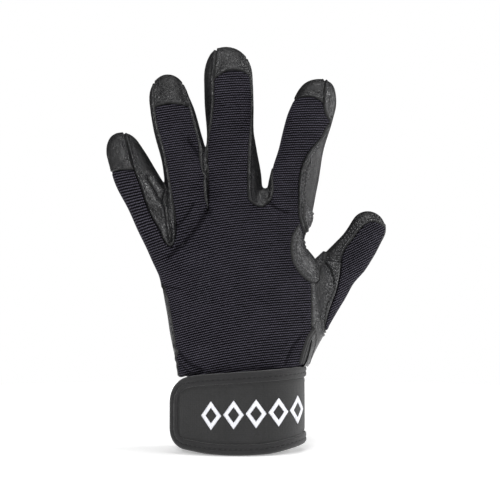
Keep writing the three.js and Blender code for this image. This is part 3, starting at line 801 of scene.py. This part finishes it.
def sew(piece, line, tree, facing=0.25, pitch=2.3):
    """Adds a row of stitches, with near-black dents painted as the needle holes' shade, along a line of the
    front view, laid on a surface.
    """
    spots, ways = dropped(smooth_line(line, 0.4), tree)
    seen = ways[:, 1] < -facing
    spots, ways = spots[seen], ways[seen]
    run = run_along(spots)
    threads, hole_shades = [], []
    for at in np.arange(pitch / 2, run[-1] - 0.4, pitch):
        i = int(np.clip(np.searchsorted(run, at), 1, len(run) - 2))
        along = unit(spots[i + 1] - spots[i - 1])
        up = unit(ways[i] - along * (ways[i] @ along))
        threads.append(stitch(spots[i], along, up))
        j = int(np.clip(np.searchsorted(run, at + pitch / 2), 0, len(run) - 1))
        hole_shades.append(needle_hole_shade(spots[j], ways[j]))
    piece.add(*merged(threads), black_thread)
    piece.add(*merged(hole_shades), hole_shade_black)


def between(line, low_z, high_z):
    return line[(line[:, 1] >= low_z) & (line[:, 1] <= high_z)]


# Materials

class Finish:
    """A small helper round a node material."""

    def __init__(self, name, **surface):
        self.material = bpy.data.materials.new(name)
        self.material.use_nodes = True
        self.tree = self.material.node_tree
        self.shader = self.tree.nodes["Principled BSDF"]
        for socket, value in surface.items():
            self.shader.inputs[socket.replace("_", " ")].default_value = value

    def node(self, kind, settings=None, **inputs):
        made = self.tree.nodes.new(kind)
        for key, value in (settings or {}).items():
            setattr(made, key, value)
        for key, value in inputs.items():
            socket = made.inputs[int(key[1:])] if key[0] == "i" and key[1:].isdigit() else made.inputs[key]
            if isinstance(value, bpy.types.NodeSocket):
                self.tree.links.new(value, socket)
            else:
                socket.default_value = value
        return made

    def math(self, operation, a, b=0.0):
        return self.node("ShaderNodeMath", {"operation": operation}, i0=a, i1=b).outputs[0]

    def times(self, a, b):
        return self.math("MULTIPLY", a, b)

    def total(self, *terms):
        """The sum of values, each times its weight."""
        whole = None
        for value, weight in terms:
            term = value if weight == 1 else self.times(value, weight)
            whole = term if whole is None else self.math("ADD", whole, term)
        return whole

    def wave(self, turns):
        return self.math("SINE", self.times(turns, 2 * math.pi))

    def place(self):
        return self.node("ShaderNodeTexCoord").outputs["Object"]

    def noise(self, per_metre, detail=3.0, rough=0.55):
        return self.node("ShaderNodeTexNoise", None, Vector=self.place(), Scale=per_metre,
                         Detail=detail, Roughness=rough).outputs["Fac"]

    def attribute(self, name):
        return self.node("ShaderNodeAttribute", {"attribute_name": name}).outputs["Fac"]

    def ramp(self, value, *stops):
        made = self.node("ShaderNodeValToRGB", None, Fac=value)
        elements = made.color_ramp.elements
        while len(elements) < len(stops):
            elements.new(0.5)
        for element, (at, colour) in zip(elements, stops):
            element.position = at
            element.color = (*colour, 1.0)
        return made.outputs["Color"]

    def grey(self, value, low_end, high_end, low_value=0.0, high_value=1.0):
        return self.node("ShaderNodeMapRange", None, i0=value, i1=low_end, i2=high_end, i3=low_value,
                         i4=high_value).outputs[0]

    def bump(self, height, distance, strength):
        return self.node("ShaderNodeBump", None, Height=height, Distance=distance,
                         Strength=strength).outputs["Normal"]

    def finish(self, colour, roughness, normal):
        for socket, value in (("Base Color", colour), ("Roughness", roughness), ("Normal", normal)):
            self.tree.links.new(value, self.shader.inputs[socket])
        return self.material


def ribbed_knit(name):
    """Stretch fabric with fine cross ribs, from the rib count held in the mesh; the near-black colour
    between the ribs is partly the knit's own stripes, partly painted shade.
    """
    f = Finish(name, Sheen_Weight=0.04, Sheen_Roughness=0.35, Specular_IOR_Level=0.03)
    f.shader.inputs["Sheen Tint"].default_value = (0.7, 0.64, 0.9, 1)
    wander = f.times(f.math("SUBTRACT", f.noise(520, 2.0), 0.5), 0.45)
    count = f.math("ADD", f.attribute("rib"), wander)
    ridge = f.grey(f.wave(count), -0.3, 0.55)
    across = f.node("ShaderNodeSeparateXYZ", None, Vector=f.place()).outputs["X"]
    row = f.math("FLOOR", f.math("ADD", count, 0.25))
    dash = f.grey(f.wave(f.total((across, 950), (row, 0.5))), -0.8, 0.0, 0.45, 1.0)
    yarn = f.noise(2800, 2.0, 0.7)
    raised = f.times(ridge, dash)
    height = f.total((raised, 1), (yarn, 0.3))
    shade = f.total((raised, 0.7), (yarn, 0.25), (f.noise(70, 3.0), 0.2))
    # Painted shade: the knit's colour darkens into the seam grooves and the fold valleys.
    shade = f.times(shade, f.grey(f.attribute("seam_and_shade"), 0.15, 0.8, 0.25, 1.0))
    # Painted shade: the ramp's near-black end colours the valleys between the ribs.
    colour = f.ramp(shade, (0.2, (0.0003, 0.0003, 0.0004)), (0.6, (0.02, 0.0188, 0.0245)),
                    (1.0, (0.088, 0.083, 0.106)))
    rough = f.grey(yarn, 0.2, 0.8, 0.62, 0.85)
    return f.finish(colour, rough, f.bump(height, 0.0006, 1.0))


def pebbled_leather(name, dark, light, shine, grain=1100, relief=0.00017):
    """Black leather with a pebble grain, worn smoother on its seams' ridges. Its colour holds painted light:
    the darker pebble hollows, seam grooves, fold valleys and patch edges are painted shade, and the lighter
    grey on the seams' ridges is partly wear and partly a painted highlight.
    """
    f = Finish(name, Specular_IOR_Level=0.5)
    cells = f.node("ShaderNodeTexVoronoi", {"feature": "DISTANCE_TO_EDGE"}, Vector=f.place(), Scale=grain,
                   Randomness=0.9).outputs["Distance"]
    pebble = f.node("ShaderNodeMapRange", {"interpolation_type": "SMOOTHSTEP"}, i0=cells, i1=0.0,
                    i2=0.3).outputs[0]
    fine = f.noise(grain * 2.6, 3.0, 0.6)
    creased = f.noise(210, 4.0, 0.55)
    edge = f.attribute("seam_and_shade")
    # Partly wear and partly a painted highlight: a lighter band beside each seam, over the welts' ridges,
    # and beside the fold valleys.
    wear_and_highlight = f.times(f.grey(edge, 0.5, 1.0), f.grey(edge, 5.6, 3.0))
    height = f.total((pebble, 1), (fine, 0.3), (creased, 1.6))
    # Painted shade: the pebbles' hollows are coloured darker than their tops.
    shade = f.total((pebble, 0.4), (wear_and_highlight, 0.35), (f.noise(45, 2.0), 0.4))
    # Painted shade: the colour darkens into the seam grooves, the fold valleys and along the patches' edges.
    colour = f.ramp(f.times(shade, f.grey(edge, 0.1, 0.6, 0.1, 1.0)), (0.12, dark), (1.0, light))
    smooth = f.total((creased, 0.8), (wear_and_highlight, -0.2))
    rough = f.math("ADD", f.grey(smooth, 0.1, 0.65, *shine), f.grey(edge, 0.55, 0.1, 0.0, 0.3))
    return f.finish(colour, rough, f.bump(height, relief, 0.9))


def jersey(name, dark, light, rough, scale, sheen=0.2):
    """Close knitted cloth, such as the face of neoprene or a woven tape."""
    f = Finish(name, Sheen_Weight=sheen, Sheen_Roughness=0.5, Specular_IOR_Level=0.3)
    stretched = f.node("ShaderNodeMapping", None, Vector=f.place(), Scale=(1.0, 1.0, 0.45)).outputs[0]
    loops = f.node("ShaderNodeTexVoronoi", {"feature": "F1"}, Vector=stretched, Scale=scale,
                   Randomness=0.45).outputs["Distance"]
    fuzz = f.noise(scale * 2.2, 3.0, 0.7)
    height = f.total((loops, -1.0), (fuzz, 0.5))
    shade = f.total((loops, -0.5), (fuzz, 0.45), (f.noise(60, 3.0), 0.35))
    colour = f.ramp(f.math("ADD", shade, 0.35), (0.15, dark), (0.85, light))
    return f.finish(colour, f.grey(fuzz, 0.2, 0.8, *rough), f.bump(height, 0.00018, 0.8))


def thread(name, dark, light, scale=2400, sheen=0.1):
    """Sewing thread, with its twist as a fine bump."""
    f = Finish(name, Sheen_Weight=sheen, Specular_IOR_Level=0.45)
    twist = f.noise(scale, 3.0, 0.6)
    colour = f.ramp(f.total((twist, 0.7), (f.noise(260, 2.0), 0.3)), (0.25, dark), (0.75, light))
    return f.finish(colour, f.grey(twist, 0.2, 0.8, 0.42, 0.62), f.bump(twist, 0.0001, 0.5))


knit = ribbed_knit("ribbed_knit")
# Painted light: the palm and patch leathers are lighter than the trim leather, partly through their own tone
# and partly as painted light for the brighter light their faces catch.
palm_leather = pebbled_leather("palm_leather", (0.0025, 0.0025, 0.0027), (0.022, 0.022, 0.024),
                               (0.24, 0.42))
trim_leather = pebbled_leather("trim_leather", (0.002, 0.002, 0.0023), (0.0125, 0.0123, 0.0137),
                               (0.25, 0.42))
patch_leather = pebbled_leather("patch_leather", (0.005, 0.005, 0.0052), (0.05, 0.05, 0.053), (0.22, 0.38))
lining = jersey("lining_cloth", (0.004, 0.004, 0.005), (0.014, 0.014, 0.016), (0.85, 0.95), 1400)
neoprene = jersey("neoprene", (0.0085, 0.0085, 0.0087), (0.026, 0.026, 0.0264), (0.75, 0.92), 1700)
tape = jersey("binding_tape", (0.0035, 0.0035, 0.0038), (0.0155, 0.015, 0.016), (0.6, 0.8), 2100)
hook = jersey("hook_tape", (0.003, 0.003, 0.004), (0.012, 0.012, 0.013), (0.8, 0.95), 900, 0.05)
black_thread = thread("black_thread", (0.02, 0.02, 0.021), (0.11, 0.11, 0.115))
strap_thread = thread("strap_thread", (0.003, 0.003, 0.0032), (0.014, 0.014, 0.015))
# Painted shade: a near-black colour for the needle holes' dents.
hole_shade_black = thread("needle_hole_shade", (0.0006, 0.0006, 0.0006), (0.0014, 0.0014, 0.0014), sheen=0.0)
white_thread = thread("white_thread", (0.55, 0.56, 0.62), (0.86, 0.86, 0.88), scale=3000)
FINISHES = dict(knit=knit, palm_leather=palm_leather, trim_leather=trim_leather)


# The panels

panels = {}
for name, slot in SLOTS.items():
    points, faces, used = submesh(hand, part == NAMES.index(name), surface)
    rib = (thumb_ribs if name == "thumb_back" else rib_course)(points)
    panels[name] = Piece(name + "_soft").add(points, faces, FINISHES[slot], rib, seam_and_shade[used])

# The lining
INSIDE = -1.9
LINING_FOOT = 1.0
inside = fused([limb_skin(limb, INSIDE, 28) for limb in LIMBS] + [palm_skin(INSIDE, 8, 48)], 2.4)
set_coords(inside, relaxed(coords(inside), edges_of(inside), 5))
for field in (lambda points: points[:, 2] - LINING_FOOT, slit_field):
    cut(inside, field)
centre = centres(inside)
points, faces, _ = submesh(inside, (centre[:, 2] > LINING_FOOT) & (slit_field(centre) > 0))
panels["palm_panel"].add(points, [face[::-1] for face in faces], lining)

# The hem, a closed ring of tape round the wrist opening
HEM = Values(set_in=0.95, height=0.9, radius=1.12, stations=140, sides=8)
side, deep = superellipse(CUFF.width / 2 - HEM.set_in, CUFF.depth / 2 - HEM.set_in, PALM.shape,
                          around(HEM.stations))
rim = np.stack([CUFF.centre + side, deep, np.full(len(side), HEM.height)], axis=1)
outer_way = unit(np.cross(np.roll(rim, -1, axis=0) - np.roll(rim, 1, axis=0), [0, 0, 1]))
across, up = np.cos(around(HEM.sides))[:, None], np.sin(around(HEM.sides))[:, None]
ring = np.vstack([spot + HEM.radius * (across * way + up * [0, 0, 1]) for spot, way in zip(rim, outer_way)])
number = np.arange(len(ring)).reshape(-1, HEM.sides)
ahead = np.roll(number, -1, axis=0)
hem_faces = np.stack([number, np.roll(number, -1, axis=1), np.roll(ahead, -1, axis=1), ahead], axis=-1)
panels["palm_panel"].add(ring, hem_faces.reshape(-1, 4).tolist(), tape)

# Stitch rows beside the leather edges
for shift in (2.2, 4.0):
    sew(panels["palm_panel"], shifted(between(INDEX_EDGE, 132, 172), shift), hand_tree)
    sew(panels["thumb_front"], shifted(between(WELT, 72, 150), -shift), hand_tree)
sew(panels["thumb_front"], smooth_line([(48.5, 110.6), (54.5, 110.4), (60, 109.6)], 1), hand_tree)


# The patches sewn on in the crook of the thumb and at the root of the index finger

def sewn_patch(name, outline, reach, rise, puff, rows, sewn):
    """A raised patch over an outline, with rows of stitches along its sewn corners."""
    line = smooth_line(np.vstack([outline, outline[:1]]), 1.2)[:-1]
    field = both(poly_field(line), past(reach))
    cut(plain, field)
    points, faces, _ = submesh(plain, field(centres(plain)) < 0)
    mesh = new_mesh(name, points, faces)
    split_in_four(mesh, np.ones(len(mesh.edges), bool))
    points = coords(mesh)
    way = normals(mesh)
    inside_by = np.maximum(0, -field(points))
    up = 0.2 + rise * (1 - np.exp(-inside_by / 0.6)) + puff * (1 - np.exp(-(inside_by / 6) ** 2))
    up += 0.3 * bell(inside_by, 0.85, 0.5)
    for row in rows:
        up -= 0.5 * bell(inside_by, row, 0.6)
    top = points + way * up[:, None]
    faces = [tuple(face.vertices) for face in mesh.polygons]
    tree = BVHTree.FromPolygons(top.tolist(), faces)
    rim_sides = open_sides(faces)
    rim = list(dict.fromkeys(v for side in rim_sides for v in side))
    skirt = {v: len(top) + i for i, v in enumerate(rim)}
    faces += [(b, a, skirt[a], skirt[b]) for a, b in rim_sides]
    piece = Piece(name)
    # Painted shade: inside the patch the seam value is scaled down, so the leather finish paints a broader
    # dark outline along the patch's edge.
    piece.add(np.vstack([top, points[rim] - way[rim] * 0.9]), faces, patch_leather,
              seam_and_shade=np.concatenate([inside_by * 0.6, np.zeros(len(rim))]))
    ahead = np.roll(line, -1, axis=0)
    clockwise = np.sum(line[:, 0] * ahead[:, 1] - ahead[:, 0] * line[:, 1]) < 0
    edge = smooth_line(outline[list(sewn)], 1.0)
    for row in rows:
        sew(piece, shifted(edge, -row if clockwise else row), tree, 0.3)
    return piece


crook = sewn_patch("crotch_patch_soft", seam_on_palm(CROOK), 9, 1.3, 1.2, (2.0, 3.9), range(13))
side_patch = sewn_patch("index_side_patch_soft", seam_on_palm(SIDE), 3, 1.0, 0.5, (1.8,),
                        (5, 6, 7, 0, 1, 2))


# The tape that binds the slit

def slit_tape():
    apex = (SLIT_LEFT[0] + SLIT_RIGHT[0]) / 2 + [0.6, 1.4]
    left, right = (shifted(between(edge, CUFF_EDGE + 0.5, 200), out)
                   for edge, out in ((SLIT_LEFT, -1.3), (SLIT_RIGHT, 1.3)))
    route = smooth_line(np.vstack([left[::-1][:-2], [apex], right[2:]]), 0.6)
    spots, ways = (rounded(values, 6) for values in dropped(route, hand_tree))
    heading = unit(np.gradient(spots, axis=0))
    ways = unit(ways - heading * np.sum(ways * heading, axis=1)[:, None])
    aside = np.cross(ways, heading)
    section = [(-1.9, -0.5), (-1.75, 0.5), (-1.2, 0.95), (-0.45, 1.1), (-0.05, 0.6), (0.35, 1.1),
               (1.1, 0.95), (1.6, 0.4), (1.65, -0.9), (1.3, -2.0)]
    scale = 1.15 - 0.85 * ease(0.46, 0.6, np.linspace(0, 1, len(spots)))
    return [spot + size * np.array([u * a + v * w for u, v in section])
            for spot, a, w, size in zip(spots, aside, ways, scale)]


slit_binding = Piece("slit_binding_soft").add(*skin(slit_tape()), tape)

# The cloth seen through the slit, as a thin closed strip below its edges
shallow, faces, used = submesh(hand, part == NAMES.index("slit"), base - outward * 0.7)
deep = base[used] - outward[used] * 1.5
count = len(shallow)
walls = [(b, a, a + count, b + count) for a, b in open_sides(faces)]
backs = [[i + count for i in face[::-1]] for face in faces]
slit_binding.add(np.vstack([shallow, deep]), faces + backs + walls, lining)


# The strap: places on it are given by the distance along it and the height

def strap_route():
    """The strap's course seen from above: round the cuff, then away as the loose end."""
    side, deep = superellipse(CUFF.width / 2 + STRAP.clearance, CUFF.depth / 2 + STRAP.clearance,
                              PALM.shape, np.radians(np.arange(STRAP.start, STRAP.leave - 0.1, -1.0)))
    points = list(np.stack([CUFF.centre + side, deep], axis=1))
    leave = run_along(points)[-1]
    heading = unit(points[-1] - points[-2])
    steps = 40
    length = STRAP.flap + 5
    turn = -length / STRAP.flap_radius / steps
    spin = np.array([[math.cos(turn), -math.sin(turn)], [math.sin(turn), math.cos(turn)]])
    for _ in range(steps):
        heading = spin @ heading
        points.append(points[-1] + heading * length / steps)
    at = np.arange(0, run_along(points)[-1], 0.8)
    return at, rounded(resampled(np.array(points), at), 4), leave


ROUTE_AT, ROUTE, LEAVE = strap_route()
ROUTE_OUT = unit(np.gradient(ROUTE, axis=0)) @ np.array([[0, 1], [-1, 0]])
STRAP_LENGTH = LEAVE + STRAP.flap
THICK = STRAP.thickness


def on_strap(distance, height, out):
    """A place in space, from the distance along the strap, the height and how far off its inner face."""
    distance, height, out = np.broadcast_arrays(distance, height, out)
    x, y = (np.interp(distance, ROUTE_AT, spot) + np.interp(distance, ROUTE_AT, way) * out
            for spot, way in zip(ROUTE.T, ROUTE_OUT.T))
    return np.stack([x, y, height], axis=-1)


def strap_edge(distance):
    across = (np.interp(distance, ROUTE_AT, ROUTE[:, 0]) - CUFF.centre) / (STRAP.width / 2)
    at, low, high = np.array(STRAP_ROWS).T
    return monotone(at, low, across) * STRAP.height, monotone(at, high, across) * STRAP.height


def corner_trim(distance, radius):
    past_corner = max(0.0, distance - (STRAP_LENGTH - radius))
    return radius - math.sqrt(max(0.0, radius ** 2 - past_corner ** 2))


stations = np.arange(0, STRAP_LENGTH + 0.01, 1.0)
stations = np.append(stations[stations < STRAP_LENGTH - 0.5], STRAP_LENGTH)
share = np.linspace(0, 1, 58)
rings = []
for distance in stations:
    low_edge, high_edge = strap_edge(distance)
    low_edge = low_edge + corner_trim(distance, STRAP.corner)
    high_edge = high_edge - corner_trim(distance, STRAP.top_corner)
    height = low_edge + share * (high_edge - low_edge)
    from_edge = np.minimum(np.minimum(height - low_edge, high_edge - height), STRAP_LENGTH - distance)
    puff = THICK - 0.5 * bell(from_edge, 5.9, 0.9) + 0.15 * (1 - np.exp(-from_edge / 8))
    rings.append(np.vstack([on_strap(distance, height, puff), on_strap(distance, height[::-6], 0)]))
strap = Piece("wrist_strap_soft").add(*skin(rings), neoprene)


def border():
    """The strap's border as distances and heights, from its sewn end along the top, round and back."""
    ends = []
    for side, radius in ((1, STRAP.top_corner), (0, STRAP.corner)):
        corner_from = STRAP_LENGTH - radius
        straight = np.arange(0, corner_from, 1.2)
        edge = np.stack([straight, strap_edge(straight)[side]], axis=1)
        tip = float(strap_edge(STRAP_LENGTH - radius / 2)[side])
        angle = np.radians(np.arange(90, -1, -7.5))
        inset = radius * (1 - np.sin(angle)) * (1 if side else -1)
        curve = np.stack([corner_from + radius * np.cos(angle), tip - inset], axis=1)
        ends.append(np.vstack([edge, curve]))
    return rounded(smooth_line(np.vstack([ends[0], ends[1][::-1]]), 1.0), 3)


BORDER = border()
INWARD = unit(np.gradient(BORDER, axis=0))[:, ::-1] * [1, -1]
GROOVE = 2.55

# The bound edge's section: how far in from the border, and how far off the strap's outer or inner face
OVER = [(5.4, -0.3), (5.3, 0.45), (4.8, 0.95), (3.5, 1.05), (2.95, 0.85), (GROOVE, 0.35), (2.15, 0.85),
        (1.4, 1.2), (0.4, 1.05), (-0.6, 0.35), (-1.05, -0.8)]
UNDER = [(-1.05, 0.8), (-0.7, -0.3), (0.2, -0.9), (1.6, -1.0), (4.4, -0.95), (5.0, -0.7), (5.0, 0.2)]
SECTION = np.array([(inset, THICK + out) for inset, out in OVER] + UNDER)
rings = [on_strap(spot[0] + way[0] * SECTION[:, 0], spot[1] + way[1] * SECTION[:, 0], SECTION[:, 1])
         for spot, way in zip(BORDER, INWARD)]
strap_binding = Piece("strap_binding_soft").add(*skin(rings), tape)


def strap_stitches(line, out, pitch=2.9, **shape):
    made = []
    run = run_along(line)
    for at in np.arange(pitch / 2, run[-1] - 1, pitch):
        ends = [[np.interp(at + step, run, line[:, k]) for k in (0, 1)] for step in (-0.6, 0, 0.6)]
        before, here, after = (on_strap(*end, out) for end in ends)
        raised = on_strap(*ends[1], out + 1)
        made.append(stitch(here, unit(after - before), unit(raised - here), **shape))
    return merged(made)


strap_binding.add(*strap_stitches(BORDER + INWARD * GROOVE, THICK + 0.45, length=2.1, radius=0.28,
                                  height=0.12), strap_thread)


# A plain row of white lozenges in satin stitch

LOZENGES = 5
LOZENGE = Values(first=-15.8, pitch=12.6, half_width=5.8, half_height=8.4, stroke=2.6, foot=18.4,
                 climb=0.05)
STRAND = 0.44


def satin_lozenge(middle, height):
    strands = []
    tips = np.array([(LOZENGE.half_width, 0), (0, LOZENGE.half_height),
                     (-LOZENGE.half_width, 0), (0, -LOZENGE.half_height)])
    for a, b in zip(tips, np.roll(tips, -1, axis=0)):
        count = int(np.linalg.norm(b - a) / STRAND)
        for k in range(count):
            outer = a + (b - a) * (k + 0.5) / count
            inner = outer * (1 - LOZENGE.stroke / LOZENGE.half_width)
            t = np.linspace(0, 1, 6)
            u, v = (outer + np.outer(t, inner - outer)).T
            raised = THICK + 0.05 + 0.62 * np.sin(math.pi * (0.08 + 0.84 * t))
            path = on_strap(middle - u, height + v, raised)
            strands.append(tube(path, 0.27, 5, [0.6, 1, 1, 1, 1, 0.6]))
    return strands


back_part = np.flatnonzero((ROUTE_AT > ROUTE_AT[np.argmax(ROUTE[:, 0])]) & (ROUTE_AT < STRAP_LENGTH))
first = ROUTE_AT[back_part[np.argmin(np.abs(ROUTE[back_part, 0] - LOZENGE.first))]]
motif = []
for k in range(LOZENGES):
    along = k * LOZENGE.pitch
    motif += satin_lozenge(first - along, LOZENGE.foot + LOZENGE.climb * along)
strap.add(*merged(motif), white_thread)

# The fastener patch hidden under the loose end
HOOK = Values(before=26, after=6, margin=9)
rings = []
for distance in np.arange(LEAVE - HOOK.before, LEAVE + HOOK.after + 0.01, 1.0):
    low_edge, high_edge = strap_edge(distance)
    height = np.linspace(low_edge + HOOK.margin, high_edge - HOOK.margin, 12)
    rings.append(np.vstack([on_strap(distance, height, -0.3), on_strap(distance, height[::-1], -1.35)]))
hook_patch = Piece("hook_patch_soft").add(*skin(rings), hook)

for name, piece in panels.items():
    piece.place(SLOTS[name], name)
crook.place("patch_leather", "crotch_patch")
side_patch.place("patch_leather", "index_side_patch")
slit_binding.place("binding", "slit_binding")
strap.place("strap", "wrist_strap")
strap_binding.place("binding", "strap_binding")
hook_patch.place("fastener", "hook_patch")
for mesh in (hand, plain, inside):
    bpy.data.meshes.remove(mesh)

# Floor, light and camera

FLOOR_REACH = 0.5
disc = around(72)
floor_mesh = new_mesh("floor", np.stack([FLOOR_REACH * np.cos(disc), FLOOR_REACH * np.sin(disc),
                                         np.full(72, -0.0052)], axis=1), [range(72)])
floor = linked("floor", floor_mesh)
paper = Finish("floor_paper", Specular_IOR_Level=0.2, Emission_Color=(1, 1, 1, 1))
mottle = paper.noise(30, 3.0)
away = paper.node("ShaderNodeVectorMath", {"operation": "LENGTH"}, i0=paper.place()).outputs["Value"]
paper.tree.links.new(paper.grey(away, 0.12, 0.48, 0.35, 1.0), paper.shader.inputs["Emission Strength"])
floor_mesh.materials.append(paper.finish(
    paper.ramp(mottle, (0.3, (0.9, 0.9, 0.9)), (0.7, (0.93, 0.93, 0.93))),
    paper.grey(mottle, 0.3, 0.7, 0.8, 0.9), paper.bump(mottle, 0.0002, 0.2)))

bpy.context.scene.view_settings.view_transform = "Standard"
world = bpy.data.worlds.new("studio")
bpy.context.scene.world = world
world.use_nodes = True
sky = world.node_tree
chosen = sky.nodes.new("ShaderNodeMixShader")
grounds = (sky.nodes["Background"], 0.06), (sky.nodes.new("ShaderNodeBackground"), 1.0)
for socket, (ground, strength) in enumerate(grounds, 1):
    ground.inputs["Color"].default_value = (1, 1, 1, 1)
    ground.inputs["Strength"].default_value = strength
    sky.links.new(ground.outputs[0], chosen.inputs[socket])
sky.links.new(sky.nodes.new("ShaderNodeLightPath").outputs["Is Camera Ray"], chosen.inputs[0])
sky.links.new(chosen.outputs[0], sky.nodes["World Output"].inputs["Surface"])

# Each area light: its place, the height it aims at, its width and height, and its power
LIGHTS = dict(key=((-0.2, -1.3, 0.5), 0.12, 0.3, 0.3, 14), fill=((0.9, -0.6, 0.3), 0.12, 0.25, 0.6, 2.0),
              right_rim=((0.95, 0.2, 0.3), 0.12, 0.2, 0.6, 6.5),
              left_rim=((-0.95, 0.05, 0.45), 0.14, 0.3, 0.7, 1.4), top=((0.1, -0.15, 1.3), 0, 0.9, 0.9, 9))
for name, (place, aim, width, height, watts) in LIGHTS.items():
    light = bpy.data.lights.new(name, "AREA")
    light.shape = "RECTANGLE"
    light.size, light.size_y, light.energy = width, height, watts
    lamp = linked(name, light)
    lamp.location = place
    lamp.rotation_euler = (Vector((0, 0, aim)) - Vector(place)).to_track_quat("-Z", "Y").to_euler()

# The photograph's frame is 300 mm wide, seen from 950 mm away
SENSOR, DISTANCE, VIEW = 36, 950, 300
camera = bpy.data.cameras.new("camera")
camera.sensor_width = SENSOR
camera.lens = SENSOR * DISTANCE / VIEW
holder = linked("camera", camera)
holder.location = (0.005, -DISTANCE * MM, 0.115)
holder.rotation_euler = (math.pi / 2, 0, 0)
bpy.context.scene.camera = holder
